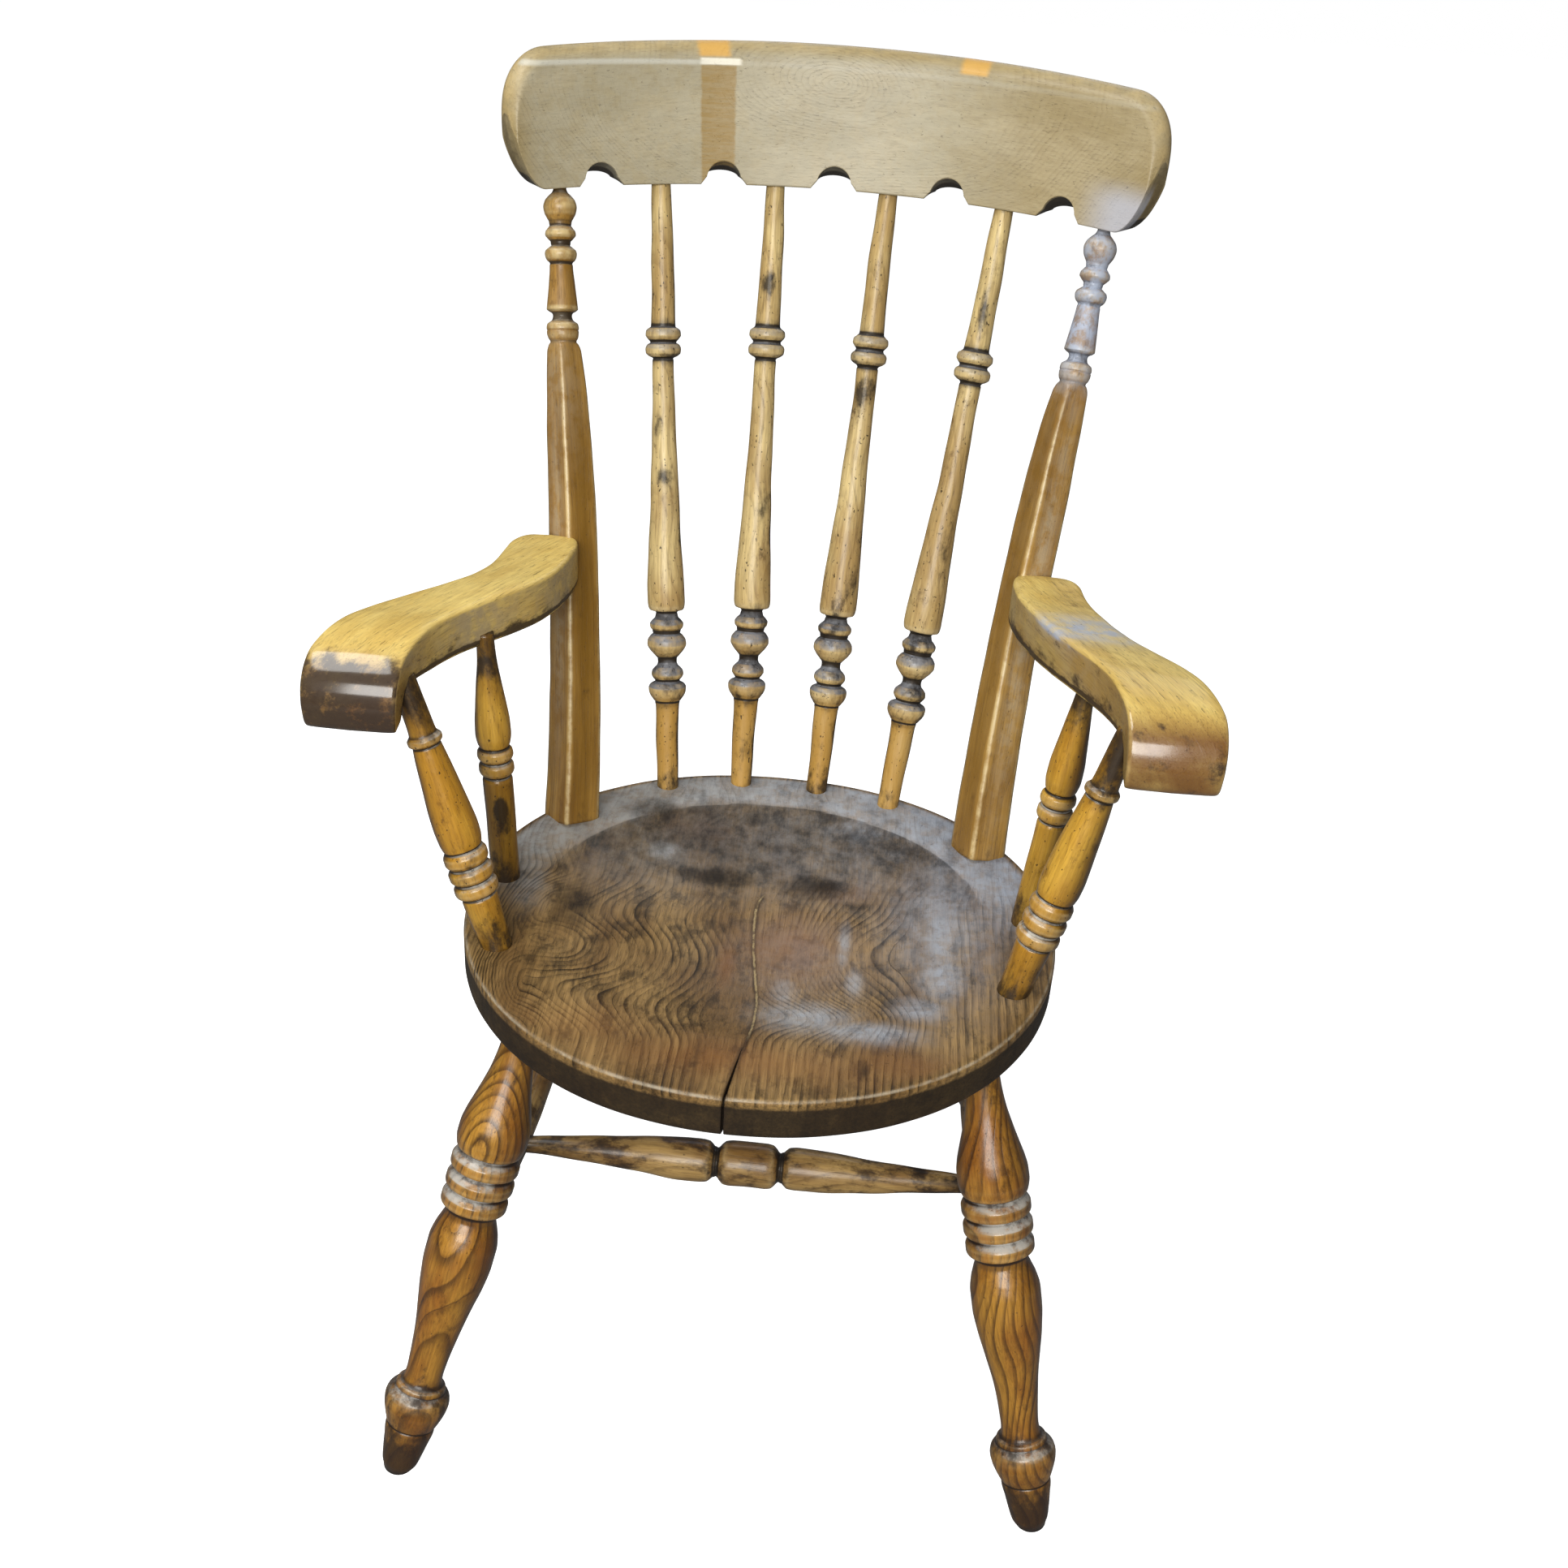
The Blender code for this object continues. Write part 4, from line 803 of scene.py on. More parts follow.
# Rows along an arc; columns up the front, over a rounded top, down the back and under the lower edge.
def makeCrest(material):
    g = crestShape
    rows = [np.linspace(-g["end"] + 0.04, g["end"] - 0.04, 230)]
    for centre in g["scallops"]:
        rows.append(centre + g["scallopRadius"] * np.sin(np.linspace(-1.34, 1.34, 40)))
        steps = np.array([g["shoulder"], g["shoulder"] - 0.0022, g["scallopRadius"] - 0.0004])
        rows += [centre - steps, centre + steps]
    swing = np.cos(np.linspace(0.012, np.pi / 2, 60))
    rows += [-g["end"] + g["topCorner"] * (1 - swing), g["end"] - g["topCorner"] * (1 - swing)]
    s = np.unique(np.round(np.concatenate(rows), 6))
    s = s[np.abs(s) < g["end"] - 2e-6]
    lower, upper = crestEdges(s)
    curl = g["middle"] * crestCurl(s, g["end"] - g["lowCorner"])
    lowerBack = curl + (lower - curl) * g["sawSlope"]
    slope = np.abs(np.gradient(upper, s))
    rise = 0.5 - 0.5 * np.cos(np.linspace(0, np.pi, 46))
    across = np.linspace(1, -1, 7)[1:-1]
    part = np.concatenate([rise, rise[::-1][1:], np.zeros(5)])
    face = np.concatenate([np.full(46, -1.0), np.full(45, 1.0), across])
    base = lower[:, None] + (lowerBack - lower)[:, None] * np.clip((face + 1) / 2, 0, 1)
    height = base + (upper[:, None] - base) * part
    fromTop = (upper[:, None] - height) / np.sqrt(1 + np.minimum(slope, 6.0) ** 2)[:, None]
    fromLow = height - base
    roundTop = np.sqrt(np.maximum(0.0, 1 - (1 - np.clip(fromTop / g["cap"], 0, 1)) ** 2))
    roundLow = np.sqrt(np.maximum(0.0, 1 - (1 - np.clip(0.35 + fromLow / g["edge"], 0, 1)) ** 2))
    offset = face * g["thick"] / 2 * np.minimum(roundTop, roundLow)
    offset = offset + 0.0005 * np.sin(s * 38)[:, None] * np.sin(height * 40)
    angle = (s / g["arc"])[:, None]
    radius = g["arc"] + offset + g["lean"] * height
    points = np.stack([g["arcX"] + radius * np.sin(angle), g["arcY"] + radius * np.cos(angle),
                       g["bottom"] + height], -1)
    along = np.broadcast_to(s[:, None], height.shape)
    growth = np.hypot((along + 0.0005) * 0.62, (height - 0.080) * 1.2 + 0.5 * offset)
    growth = growth + 0.006 * np.sin(along * 19 + 1.0) + 0.003 * np.sin(height * 60 + along * 25)
    under = (part == 0) & (face > -1.0)
    top = np.clip(1 - fromTop / 0.010, 0, 1)
    ends = np.clip((np.abs(along) - 0.262) / 0.02, 0, 1)
    right = np.clip((along - 0.08) / 0.10, 0, 1)
    marks = {
        "grain": np.stack([offset, height, along], -1) + np.array([1.7, 2.9, 0.3]),
        "growth": growth,
        # painted shade: the underside, the scallop hollows with it, goes dark as grime and dirt
        "hollow": np.where(under, 2.0 * np.clip((0.013 - curl) / 0.008, 0, 1)[:, None], -0.45 * top),
        "dirtAndShade": 0.10 + 0.10 * right + 0.25 * (face > 0) + 0.5 * under,
        "tone": 0.35 * ends + 0.32 * right * (1 - top),
        # the front face greys below the top, less to the right and not at the ends: a painted cool light
        "bleachAndSheen": np.clip(0.50 - 0.9 * top - 0.45 * right, 0, 1) * (face < 0) * (1 - ends),
    }
    return gridPiece("crestBoard", points, marks, material, ["crest_rail"])


# A browner strip down the front and two golden patches on top; painted highlights along the top arris
# and at the top of the strip, and a painted bluish sheen low on the front of the right end.
def crestExtras(tree, grain, colour, height):
    split = addNode(tree, "ShaderNodeSeparateXYZ", None, {0: grain})
    along = minus(tree, split.outputs[2], 0.3)
    tall = minus(tree, split.outputs[1], 2.9)
    front = ease(tree, minus(tree, split.outputs[0], 1.7), -0.004, 0.0, 1.0, 0.0)
    ragged = times(tree, minus(tree, noise(tree, grain, 120.0, 3.0, 0.6, (1, 1, 1), 41.0), 0.5), 0.004)

    def near(centre, half, soft):
        away = calc(tree, "ABSOLUTE", minus(tree, plus(tree, along, ragged), centre))
        return ease(tree, away, half - soft, half + soft, 1.0, 0.0)

    low = times(tree, front, ease(tree, tall, 0.092, 0.096, 1.0, 0.0))
    band = times(tree, near(-0.1027, 0.0145, 0.0014), low)
    fine = noise(tree, grain, 1.0, 3.0, 0.6, (500.0, 500.0, 60.0), 43.0)
    colour = tint(tree, times(tree, band, ease(tree, fine, 0.25, 0.75, 0.65, 1.0)), colour,
                  shade(150, 124, 72))
    # painted highlight: a pale glint along the arris at the top of the strip
    glint = times(tree, near(-0.1010, 0.0170, 0.002), times(tree, ease(tree, tall, 0.0935, 0.0950),
        ease(tree, tall, 0.0985, 0.1000, 1.0, 0.0)))
    colour = tint(tree, times(tree, glint, front), colour, shade(236, 230, 212))
    onTop = ease(tree, tall, 0.0990, 0.1020)
    # painted highlight along the top front arris, stronger on the left half
    arris = times(tree, ease(tree, tall, 0.0925, 0.0955), ease(tree, tall, 0.0965, 0.0990, 1.0, 0.0))
    arris = times(tree, arris, times(tree, front, ease(tree, along, -0.125, -0.105, 0.55, 0.12)))
    colour = tint(tree, arris, colour, shade(208, 208, 198))
    gold = calc(tree, "MAXIMUM", near(-0.1060, 0.0130, 0.003), near(0.1100, 0.0115, 0.003))
    colour = tint(tree, times(tree, times(tree, gold, onTop), 0.8), colour, shade(216, 166, 78))
    # painted bluish sheen low on the front of the right end
    sheen = times(tree, ease(tree, along, 0.215, 0.262), ease(tree, tall, 0.020, 0.045, 1.0, 0.0))
    colour = tint(tree, times(tree, times(tree, sheen, front), 0.7), colour, shade(186, 190, 204))
    return colour, height


crestWood = woodFinish("crestElm", {
    "pale": shade(178, 164, 130), "warm": shade(158, 143, 106), "dark": shade(108, 88, 56),
    "grime": shade(30, 22, 16), "worn": shade(208, 180, 120), "hazy": shade(170, 166, 148), "rings": 330.0,
    "ringStrength": 0.22, "lateWidth": 0.60, "breakLeast": 0.15, "breakScale": 16.0, "bend": 0.018,
    "bendScale": 12.0, "fray": 0.0030, "rich": shade(148, 128, 84), "hazeLeast": 0.6,
    "fibreScale": (420.0, 420.0, 70.0), "fibreDark": 0.22, "poreScale": (900.0, 900.0, 160.0),
    "poreStrength": 0.30, "poreFrom": 0.57, "patchFrom": 0.60, "patchStrength": 0.30, "wear": 0.75,
    "speck": 0.25, "rough": 0.50, "coat": 0.2, "coatRough": 0.30, "dirtStrength": 0.45,
}, crestExtras)
makeCrest(crestWood)
print("crest rail made")

# Arms

armStations = np.array([
    (0.1750, 0.6562, 0.0060, 0.2110, 0.0060, 0.0), (0.1742, 0.6556, 0.0110, 0.2112, 0.0130, 0.0),
    (0.1710, 0.6543, 0.0154, 0.2120, 0.0205, 0.0), (0.1620, 0.6530, 0.0182, 0.2135, 0.0265, 0.0),
    (0.1460, 0.6528, 0.0192, 0.2145, 0.0292, 0.0), (0.1250, 0.6540, 0.0194, 0.2150, 0.0292, 0.0),
    (0.1000, 0.6560, 0.0194, 0.2170, 0.0288, 0.0), (0.0700, 0.6585, 0.0194, 0.2245, 0.0290, 0.0),
    (0.0400, 0.6612, 0.0194, 0.2395, 0.0300, 0.0), (0.0100, 0.6637, 0.0194, 0.2590, 0.0322, 0.0),
    (-0.0200, 0.6665, 0.0192, 0.2765, 0.0345, 0.0), (-0.0450, 0.6687, 0.0188, 0.2870, 0.0356, -1.0),
    (-0.0680, 0.6700, 0.0176, 0.2930, 0.0362, 5.0), (-0.0860, 0.6695, 0.0160, 0.2965, 0.0364, 18.0),
    (-0.0990, 0.6645, 0.0146, 0.2980, 0.0362, 38.0), (-0.1070, 0.6550, 0.0134, 0.2985, 0.0358, 62.0),
    (-0.1100, 0.6450, 0.0122, 0.2985, 0.0352, 80.0), (-0.1100, 0.6365, 0.0104, 0.2985, 0.0346, 92.0),
    (-0.1090, 0.6318, 0.0080, 0.2985, 0.0336, 97.0), (-0.1086, 0.6300, 0.0048, 0.2985, 0.0322, 98.0),
])
armLook = {
    "columns": 96, "rows": 260, "level": 0.0035, "bellyAt": 0.075, "glareAt": 0.130, "glareReach": 0.030,
    "left": {
        "splay": -0.009, "belly": 0.0, "soil": 0.72, "sideDirtAndShade": 0.06, "sideBleach": 0.80,
        "frontTone": 0.92, "sideTone": 0.10, "glare": 0.0,
    },
    "right": {
        "splay": -0.003, "belly": 0.008, "soil": 0.20, "sideDirtAndShade": 0.12, "sideBleach": 0.30,
        "frontTone": 0.90, "sideTone": 0.56, "glare": 0.85,
    },
}


# A board's section, squarish with worn arrises, carried along a line that dips and rolls down in front.
def makeArm(key, side, material):
    own, table = armLook[key], armStations
    knots = np.arange(len(table), dtype=float)
    fine = np.linspace(0, len(table) - 1, armLook["rows"])
    y, z, thick, x, wide, pitch = [smoothThrough(knots, table[:, k], fine) for k in range(6)]
    t = np.clip((0.165 - y) / 0.25, 0.0, 1.0)
    centreX = side * x + own["splay"] * t + own["belly"] * np.exp(-((y - armLook["bellyAt"]) / 0.05) ** 2)
    centreZ = z + side * armLook["level"] * t
    columns = armLook["columns"]
    turn = 2 * np.pi * np.arange(columns) / columns
    c, s = np.cos(turn), np.sin(turn)
    across = wide[:, None] * np.sign(c) * np.abs(c) ** 0.13
    over = thick[:, None] * np.sign(s) * np.abs(s) ** 0.18
    crown = 0.0012 * (1 - (across / wide[:, None]) ** 2) * np.sign(s) * np.abs(s)
    over = over + crown + 0.0003 * np.sin(fine * 1.9 + side)[:, None] * np.sign(s)
    a = np.radians(pitch)[:, None]
    px = centreX[:, None] + across + np.zeros_like(over)
    py = y[:, None] - np.sin(a) * over
    pz = centreZ[:, None] + np.cos(a) * over
    points = np.stack([px, py, pz], -1)[:, ::-1]
    path = np.concatenate([[0], np.cumsum(np.hypot(np.diff(y), np.diff(z)))])
    frontPart = np.clip((path - 0.262) / 0.018, 0, 1)[:, None]
    edge = np.clip(1 - (wide[:, None] - np.abs(across)) / 0.004, 0, 1)
    edge = edge * np.clip(1 - (thick[:, None] - np.abs(over)) / 0.004, 0, 1)
    sideFace = np.clip((np.abs(c) - 0.90) / 0.06, 0, 1) + np.zeros_like(over)
    lowEdge = sideFace * np.clip((-s - 0.02) / 0.10, 0, 1)
    under = np.clip(-s * 3, 0, 1) + np.zeros_like(over)
    lengthwise = side * px + 0.42 * py  # the board was sawn along the arm
    growth = np.hypot(lengthwise - 0.12, pz - 0.60 - 0.10 * py)
    # painted reflection: a pale bluish glare across the top of the arm
    glare = own["glare"] * np.exp(-((path[:, None] - armLook["glareAt"]) / armLook["glareReach"]) ** 2)
    glare = glare * np.clip(s * 4, 0, 1)
    # dirt on the side faces, with painted shade along the lower edges and on the underside
    sideDirtAndShade = own["sideDirtAndShade"] * sideFace + 0.50 * lowEdge + 0.45 * under * (1 - frontPart)
    sideTone = own["sideTone"] * sideFace * (1 - 0.6 * frontPart)
    streaks = 0.7 + 0.3 * np.sin(8 + 60 * py)
    marks = {
        "grain": np.stack([lengthwise, pz, py], -1) + np.array([4.1 + side, 1.3, 0.7]),
        "growth": growth,
        "hollow": -0.75 * edge,
        "dirtAndShade": 0.16 + own["soil"] * frontPart * (1 - 0.6 * sideFace) + sideDirtAndShade,
        "bleachAndSheen": own["sideBleach"] * sideFace * (1 - frontPart) * streaks + glare,
        "tone": own["frontTone"] * frontPart * (1 - 0.5 * sideFace) + sideTone,
        "coldSheen": np.clip(glare * 2, 0, 1) + 0 * over,
        "gloss": np.clip((path - 0.255) / 0.012, 0, 1)[:, None] * np.clip(s * 3, 0, 1) + 0 * over,
    }
    for mark, value in marks.items():
        marks[mark] = np.broadcast_to(value, over.shape + value.shape[2:])[:, ::-1].copy()
    return gridPiece("arm" + key.capitalize(), points, marks, material, ["arm_" + key])


armWood = woodFinish("armBeech", {
    "pale": shade(240, 212, 126), "warm": shade(222, 188, 100), "dark": shade(140, 102, 48),
    "grime": shade(42, 28, 16), "rich": shade(100, 56, 10), "worn": shade(226, 198, 134),
    "hazy": shade(164, 148, 120), "rings": 110.0, "ringStrength": 0.20, "lateWidth": 0.5, "breakLeast": 0.2,
    "bend": 0.010, "fibreScale": (560.0, 560.0, 12.0), "fibreDark": 0.24, "poreScale": (900.0, 900.0, 46.0),
    "poreStrength": 0.6, "poreFrom": 0.58, "patchFrom": 0.60, "patchStrength": 0.35, "wear": 0.6,
    "speck": 0.45, "rough": 0.44, "coat": 0.25, "polished": 0.75, "coatRough": 0.13, "dirtStrength": 0.90,
    "dirtRagged": 2.0, "dents": 2.6, "hazeLeast": 0.35,
})
for key, side in (("left", -1.0), ("right", 1.0)):
    makeArm(key, side, armWood)
print("arms made")

# Arm supports

frontSupport = [
    (-4, 12.6), (0.0, 12.6), (22, 13.4), (41, 14.2), (43.6, 13.7), (45.0, 14.8), (46.8, 16.8), (49.4, 17.6),
    (53, 17.4), (55.4, 15.6), (57.0, 15.0), (58.6, 16.2), (61, 17.6), (65.5, 17.7), (68.6, 15.9),
    (70.4, 15.2), (72.2, 16.4), (74.8, 17.6), (79, 17.6), (82, 16.2), (84.2, 15.3), (86.6, 15.9),
    (92, 17.0), (102, 17.4), (112, 16.9), (134, 15.1), (160, 12.6), (168, 11.6), (170.6, 11.3),
    (172.0, 12.4), (173.6, 13.7), (176.2, 13.8), (178.2, 12.4), (180.0, 11.0), (184, 10.5), (197, 10.0),
    (212, 9.4), (226, 8.8),
]
rearSupport = [
    (-4, 12.0), (0.0, 12.0), (60, 12.3), (88, 12.5), (90.6, 11.8), (92.2, 11.6), (94.2, 13.6), (97, 14.6),
    (101, 14.4), (103.4, 12.8), (105, 12.4), (106.8, 13.8), (109.4, 14.8), (113, 14.4), (115.4, 12.6),
    (117, 12.3), (119.6, 13.2), (128, 14.6), (138, 14.4), (152, 12.9), (170, 10.6), (192, 7.9), (204, 7.3),
    (212, 7.2),
]
supportLook = {
    "frontLeft": {
        "foot": (-0.2061, -0.1052), "top": (-0.2750, -0.0830, 0.6535), "seed": 61,
        "pith": (0.04, 0.03, 0.02, 0.01),
        "patch": ((120, 55, 60, 0.9, 0.35), (12, 61, 16, 1.2, 0.6), (205, 49, 18, 1.6, 0.75)),
    },
    "frontRight": {
        "foot": (0.2061, -0.1052), "top": (0.2635, -0.0830, 0.6605), "seed": 67,
        "pith": (-0.04, 0.03, 0.02, 0.01),
        "patch": ((140, 129, 60, 0.8, 0.5), (16, 118, 26, 1.2, 0.6), (205, 106, 16, 1.4, 0.6)),
    },
    "rearLeft": {
        "foot": (-0.2200, -0.0042), "top": (-0.2340, 0.0090, 0.6445), "seed": 71,
        "pith": (0.04, 0.03, 0.02, 0.01),
        "tone": ((0, 0.55), (90, 0.42), (118, 0.15), (170, 0.25), (204, 0.7)),
        "patch": (
            (68, 106, 15, 0.70, 1.15), (50, 124, 34, 0.6, 0.6), (20, 60, 26, 0.7, 0.6),
            (195, 78, 20, 2.4, 0.8),
        ),
    },
    "rearRight": {
        "foot": (0.2200, -0.0042), "top": (0.2420, 0.0090, 0.6515), "seed": 79,
        "pith": (-0.04, 0.03, 0.02, 0.01), "patch": ((20, 84, 24, 1.4, 0.6), (195, 78, 18, 2.4, 0.5)),
    },
}
supportWood = woodFinish("supportBeech", {
    "pale": shade(214, 168, 66), "warm": shade(184, 134, 42), "dark": shade(104, 66, 20),
    "grime": shade(28, 20, 13), "worn": shade(214, 190, 140), "hazy": shade(190, 184, 172),
    "rich": shade(44, 26, 9), "hazeLeast": 0.2, "rings": 110.0, "ringStrength": 0.22, "lateWidth": 0.5,
    "bend": 0.012, "fibreDark": 0.28, "poreStrength": 0.4, "patchFrom": 0.58, "patchStrength": 0.50,
    "wear": 0.35, "grimeStrength": 0.97, "speck": 0.8, "speckFrom": 0.67, "rough": 0.34, "coat": 0.4,
    "coatRough": 0.2, "dirtStrength": 0.90,
})
supportKinds = {  # the length that the stations were drawn for, and the cuts between the rings
    "front": {
        "stations": frontSupport, "plan": 222.0,
        "cuts": ((43.8, 0.9, 0.8), (57.0, 0.9, 0.8), (70.4, 0.9, 0.8), (84.4, 0.8, 0.9), (170.8, 0.6, 0.8)),
    },
    "rear": {
        "stations": rearSupport, "plan": 204.0,
        "cuts": ((91.6, 0.8, 0.8), (104.6, 0.8, 0.8), (116.6, 0.7, 0.8)),
    },
}
supportCommon = {
    "columns": 48,
    "dirtAndShade": (
        (0, 0.80), (22, 0.50), (45, 0.40), (96, 0.34), (110, 0.20), (160, 0.24), (180, 0.50), (230, 0.80),
    ),
    "dustAndSheen": (
        (40, 0.3), (46, 0.9), (84, 0.9), (92, 0), (96, 0.8), (116, 0.8), (122, 0), (168, 0), (172, 0.9),
        (182, 0.9), (190, 0),
    ),
}
endStains = ((0, 90, 36, 2.0, 0.45), (215, 90, 30, 3.0, 0.6))
# painted shade down the outer side of each support
sideShade = {"left": (120, 24, 220, 0.50, 1.0), "right": (120, 150, 220, 0.85, 1.0)}
for place, hand in (("front", "left"), ("front", "right"), ("rear", "left"), ("rear", "right")):
    key, kind = place + hand.capitalize(), supportKinds[place]
    own = supportLook[key]
    footAt = (*own["foot"], seatPlane(own["foot"][1]))
    scale = math.dist(footAt, own["top"]) * 1000.0 / kind["plan"]
    turning = [(station * scale if station > 0 else station, radius) for station,
               radius in kind["stations"]]
    look = {**supportCommon, "cuts": [(cut * scale, deep, wide) for cut, deep, wide in kind["cuts"]],
            "shadeAndStain": (sideShade[hand], *endStains), **own}
    node = "arm_support_" + place + "_" + hand
    turnedPiece("support" + key[0].upper() + key[1:], footAt, own["top"], turning, look, supportWood,
                [node])
print("arm supports made")

# Stretchers

stretcherLook = {"height": 0.145, "crossY": -0.016}
sideTurning = [
    (2, 8.0), (30, 8.1), (60, 10.4), (120, 13.8), (180, 15.6), (240, 15.6), (300, 13.6), (362, 10.2),
    (396, 8.1), (424, 8.0),
]
crossHalf = [
    (0.0, 20.4), (14, 20.5), (20, 19.6), (23.5, 16.6), (25.6, 14.2), (29, 14.0), (31.5, 16.2), (34.5, 18.6),
    (42, 19.5), (56, 19.2), (98, 15.6), (124, 13.4), (146, 11.4), (169, 9.6), (186, 8.2), (200, 7.6),
]


def onLeg(foot, top, height):
    foot, top = np.asarray(foot, float), np.asarray(top, float)
    return foot + (top - foot) * (height / (top[2] - foot[2]))


stretcherWood = woodFinish("stretcherBeech", {
    "pale": shade(184, 150, 92), "warm": shade(132, 98, 52), "dark": shade(60, 38, 18),
    "grime": shade(24, 18, 12), "worn": shade(206, 180, 130), "hazy": shade(150, 140, 124), "rings": 120.0,
    "ringStrength": 0.40, "bend": 0.012, "patchScale": 42.0, "patchFrom": 0.46, "patchStrength": 0.85,
    "wear": 0.30, "speck": 0.6, "rough": 0.42, "coat": 0.35, "dirtStrength": 0.94,
})
crossX = {}
for key, side in (("left", -1.0), ("right", 1.0)):
    front = onLeg(legLook[key]["foot"], legLook[key]["top"], stretcherLook["height"])
    rearKey = "rear" + key.capitalize()
    rear = onLeg(legLook[rearKey]["foot"], legLook[rearKey]["top"], stretcherLook["height"])
    length = float(np.linalg.norm(rear - front))
    turning = [(place * length / 0.426, radius) for place, radius in sideTurning]
    look = {"seed": 83 if side < 0 else 89, "columns": 40, "pith": (0.03, 0.02, 0.02, 0.0),
            "dirtAndShade": ((0, 0.6), (60, 0.42), (210, 0.34), (380, 0.5), (430, 0.6))}
    turnedPiece("sideStretcher" + key.capitalize(), front, rear, turning, look, stretcherWood,
                ["side_stretcher_" + key])
    part = (stretcherLook["crossY"] - front[1]) / (rear[1] - front[1])
    crossX[key] = front[0] + (rear[0] - front[0]) * part
half = (crossX["right"] - crossX["left"]) * 500.0 - 4.0
scale = half / 200.0
crossTurning = [(half - d * scale, r) for d, r in reversed(crossHalf[1:])] + [(half + d * scale, r) for d,
    r in crossHalf]
crossLook = {
    "seed": 97, "columns": 48, "pith": (0.03, -0.03, 0.03, 0.02), "figure": 0.006, "uneven": 0.00035,
    "wander": 0.0008, "cuts": ((half - 26.8 * scale, 1.0, 1.2), (half + 26.8 * scale, 1.0, 1.2)),
    "dirtAndShade": (
        (0, 0.8), (30, 0.55), (90, 0.40), (half - 60, 0.30), (half - 30, 0.62), (half - 20, 0.42),
        (half, 0.36), (half + 20, 0.42), (half + 30, 0.62), (half + 60, 0.34), (half + 120, 0.46),
        (2 * half - 30, 0.6), (2 * half, 0.8),
    ),
}
ends = [(crossX[key] + (0.004 if key == "left" else -0.004), stretcherLook["crossY"],
         stretcherLook["height"]) for key in ("left", "right")]
turnedPiece("crossStretcher", ends[0], ends[1], crossTurning, crossLook, stretcherWood,
            ["cross_stretcher"])
print("stretchers made")

# Screws


def ironFinish():
    material = bpy.data.materials.new("screwIron")
    material.use_nodes = True
    tree = material.node_tree
    shader = tree.nodes["Principled BSDF"]
    place = addNode(tree, "ShaderNodeTexCoord").outputs["Object"]
    rust = noise(tree, place, 600.0, 4.0, 0.6)
    tree.links.new(tint(tree, ease(tree, rust, 0.42, 0.62), shade(92, 86, 80), shade(88, 56, 36)),
                   shader.inputs["Base Color"])
    tree.links.new(ease(tree, rust, 0.3, 0.7, 0.42, 0.75), shader.inputs["Roughness"])
    shader.inputs["Metallic"].default_value = 0.85
    return material


iron = ironFinish()
for key in ("left", "right"):
    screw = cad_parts["arm_screw_" + key]
    for place in screw.material_slots:
        place.material = iron
    if not screw.material_slots:
        screw.data.materials.append(iron)
print("screws finished")

# Floor, light and camera

studio = {
    "overhead": 0.24, "horizon": 0.06, "below": 0.04, "bounce": 0.10, "floorGlow": 0.86, "glossShare": 0.10,
}


# the rays that meet the white background; gloss meets it dimmed, or varnish greys dark wood
def whiteRays(tree):
    path = addNode(tree, "ShaderNodeLightPath").outputs
    clear = calc(tree, "MAXIMUM", path["Is Camera Ray"], path["Is Transmission Ray"])
    return calc(tree, "MAXIMUM", clear, times(tree, path["Is Glossy Ray"], studio["glossShare"]))


# white with a soft shadow to the camera, a dull grey to the chair, as a shop floor would be
def makeFloor():
    mesh = bpy.data.meshes.new("floor")
    mesh.from_pydata([(-9, -9, 0), (9, -9, 0), (9, 9, 0), (-9, 9, 0)], [], [(0, 1, 2, 3)])
    floor = bpy.data.objects.new("floor", mesh)
    bpy.context.scene.collection.objects.link(floor)
    material = bpy.data.materials.new("paleFloor")
    material.use_nodes = True
    tree = material.node_tree
    shader = tree.nodes["Principled BSDF"]
    seen = whiteRays(tree)
    dull, bright = (studio["bounce"],) * 3 + (1,), (0.86, 0.86, 0.86, 1)
    tree.links.new(tint(tree, seen, dull, bright), shader.inputs["Base Color"])
    shader.inputs["Roughness"].default_value = 0.9
    shader.inputs["Specular IOR Level"].default_value = 0.0
    glow = addNode(tree, "ShaderNodeEmission", {"Color": (1, 1, 1, 1)})
    tree.links.new(times(tree, seen, studio["floorGlow"]), glow.inputs["Strength"])
    both = addNode(tree, "ShaderNodeAddShader", None, {0: shader.outputs[0], 1: glow.outputs[0]})
    tree.links.new(both.outputs[0], tree.nodes["Material Output"].inputs["Surface"])
    mesh.materials.append(material)


def makeWorld():  # a dim room that is brighter overhead, and white to the camera
    world = bpy.data.worlds.new("softRoom")
    bpy.context.scene.world = world
    world.use_nodes = True
    tree = world.node_tree
    seen = whiteRays(tree)
    toward = addNode(tree, "ShaderNodeTexCoord").outputs["Generated"]
    up = addNode(tree, "ShaderNodeSeparateXYZ", None, {0: toward}).outputs[2]
    upper = ease(tree, up, 0.15, 0.95, studio["horizon"], studio["overhead"])
    room = calc(tree, "MINIMUM", upper, ease(tree, up, -0.10, 0.05, studio["below"], 1.0))
    back = tree.nodes["Background"]
    back.inputs["Color"].default_value = (1, 1, 1, 1)
    tree.links.new(calc(tree, "MAXIMUM", room, seen), back.inputs["Strength"])


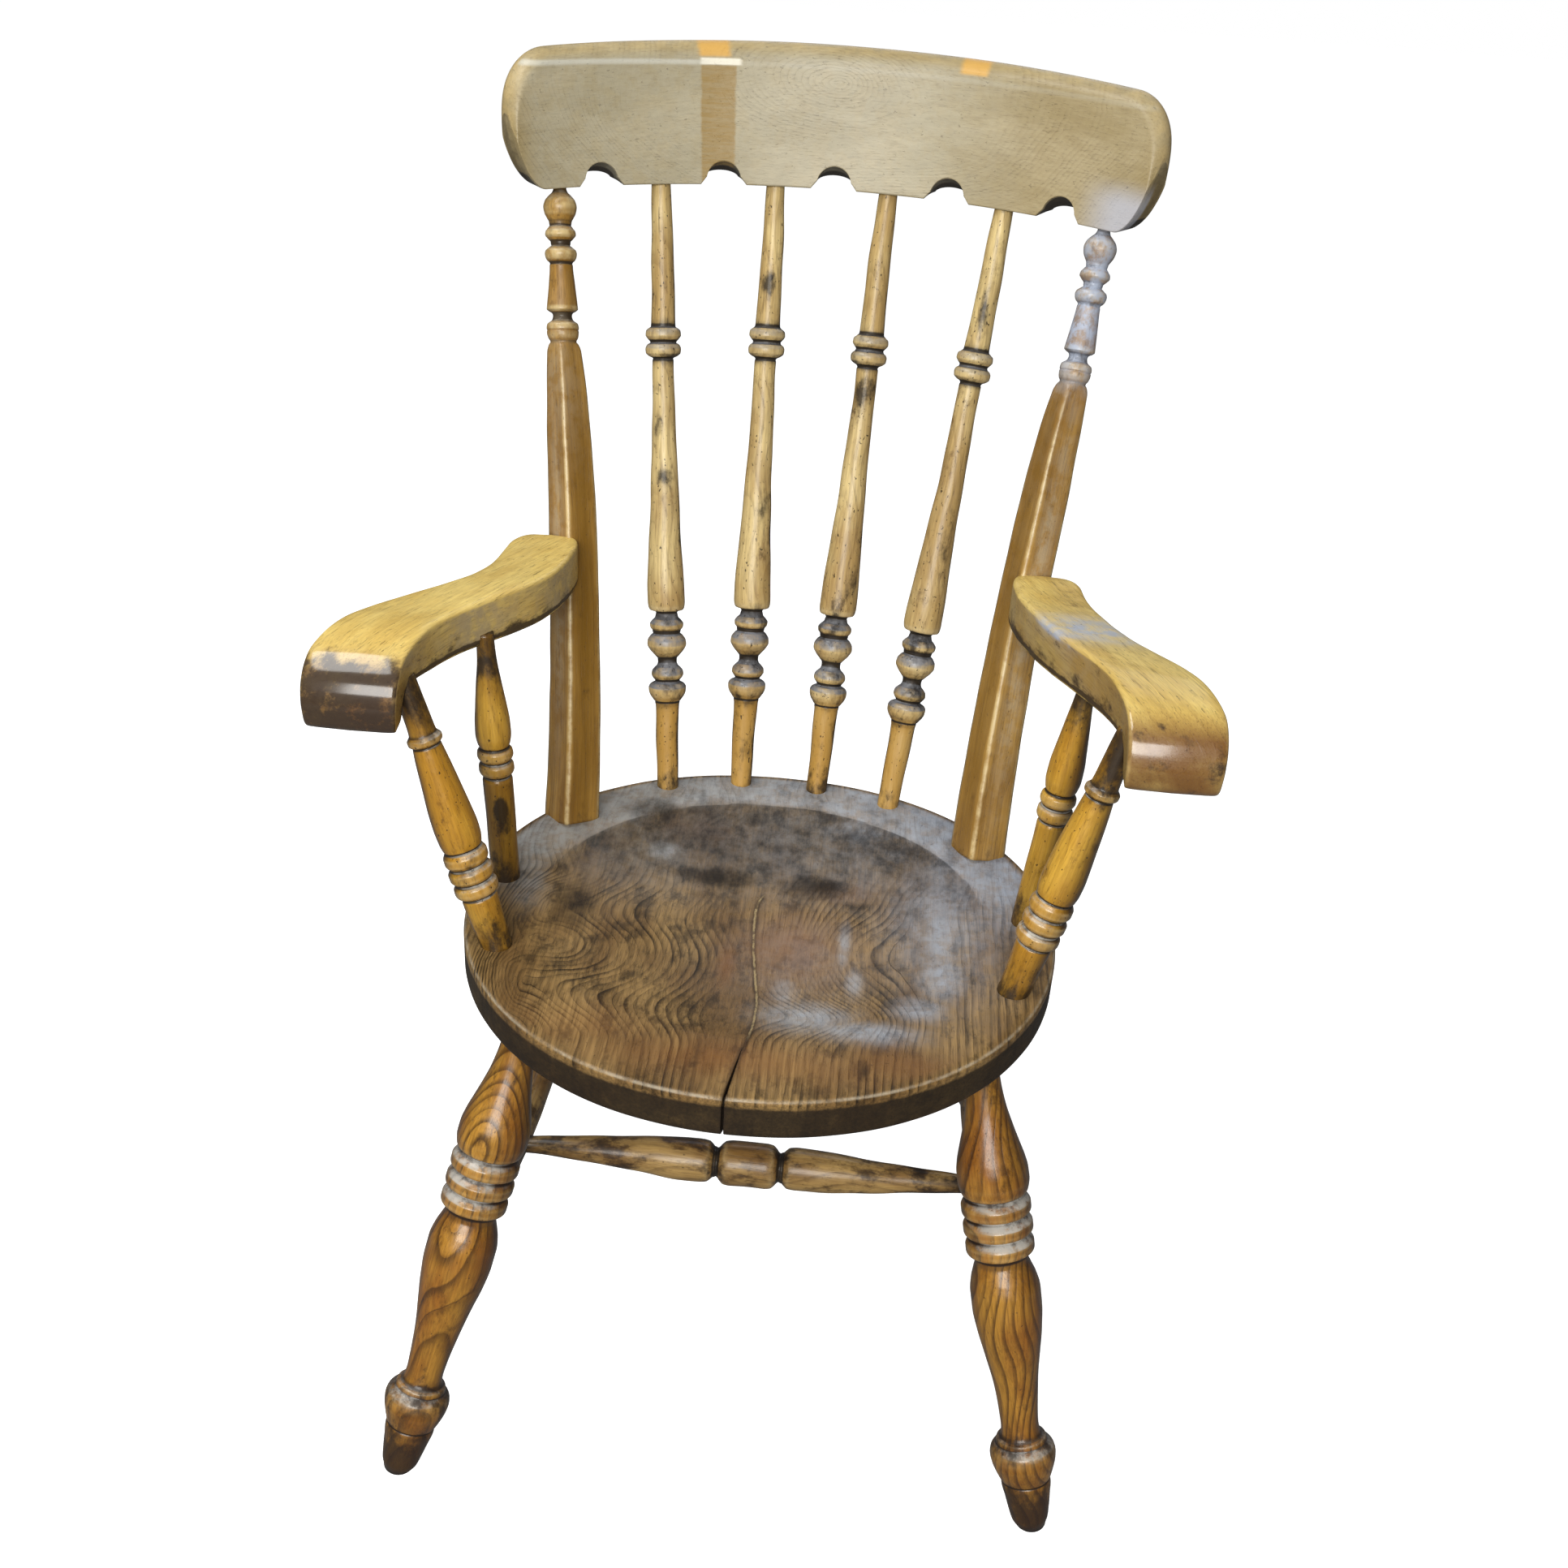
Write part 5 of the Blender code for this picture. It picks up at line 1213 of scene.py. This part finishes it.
def makeLamp(name, place, target, size, power, colour=(1, 1, 1)):
    lamp = bpy.data.lights.new(name, "AREA")
    lamp.shape, lamp.size, lamp.size_y = "RECTANGLE", size[0], size[1]
    lamp.energy, lamp.color = power, colour
    holder = bpy.data.objects.new(name, lamp)
    holder.location = place
    holder.rotation_euler = (Vector(target) - Vector(place)).to_track_quat("-Z", "Y").to_euler()
    bpy.context.scene.collection.objects.link(holder)


makeFloor()
makeWorld()
makeLamp("frontLamp", (-0.2, -2.8, 1.9), (0, 0, 0.5), (1.9, 1.4), 104.0, (1.0, 0.98, 0.94))
makeLamp("ceilingLamp", (-0.9, -0.2, 2.6), (0, 0, 0.5), (1.5, 0.7), 24.0, (0.97, 0.99, 1.0))
makeLamp("windowLamp", (0.3, 2.4, 2.1), (0, 0, 0.5), (1.6, 0.9), 7.0, (0.74, 0.84, 1.0))

cameraLook = {
    "place": (0.0624, -1.2465, 1.2825), "yaw": -0.0419, "pitch": -0.5346, "roll": 0.0661,
    "lens": 2198.2385 * 36.0 / 1932.0,
}
camera = bpy.data.cameras.new("photoCamera")
camera.sensor_fit, camera.sensor_width, camera.lens = "HORIZONTAL", 36.0, cameraLook["lens"]
camera.clip_start = 0.05
holder = bpy.data.objects.new("photoCamera", camera)
bpy.context.scene.collection.objects.link(holder)
yaw, pitch, roll = cameraLook["yaw"], cameraLook["pitch"], cameraLook["roll"]
ahead = np.array([math.sin(yaw) * math.cos(pitch), math.cos(yaw) * math.cos(pitch), math.sin(pitch)])
right = np.array([math.cos(yaw), -math.sin(yaw), 0.0])
up = np.cross(right, ahead)
rightRolled = right * math.cos(roll) + up * math.sin(roll)
upRolled = -right * math.sin(roll) + up * math.cos(roll)
turn = np.stack([rightRolled, upRolled, -ahead], 1)
at = np.array(cameraLook["place"]) + rootShift
matrix = np.eye(4)
matrix[:3, :3], matrix[:3, 3] = turn, at
holder.matrix_world = Matrix(matrix.tolist())
bpy.context.scene.camera = holder
bpy.context.scene.view_settings.view_transform = "Standard"
print("studio ready")
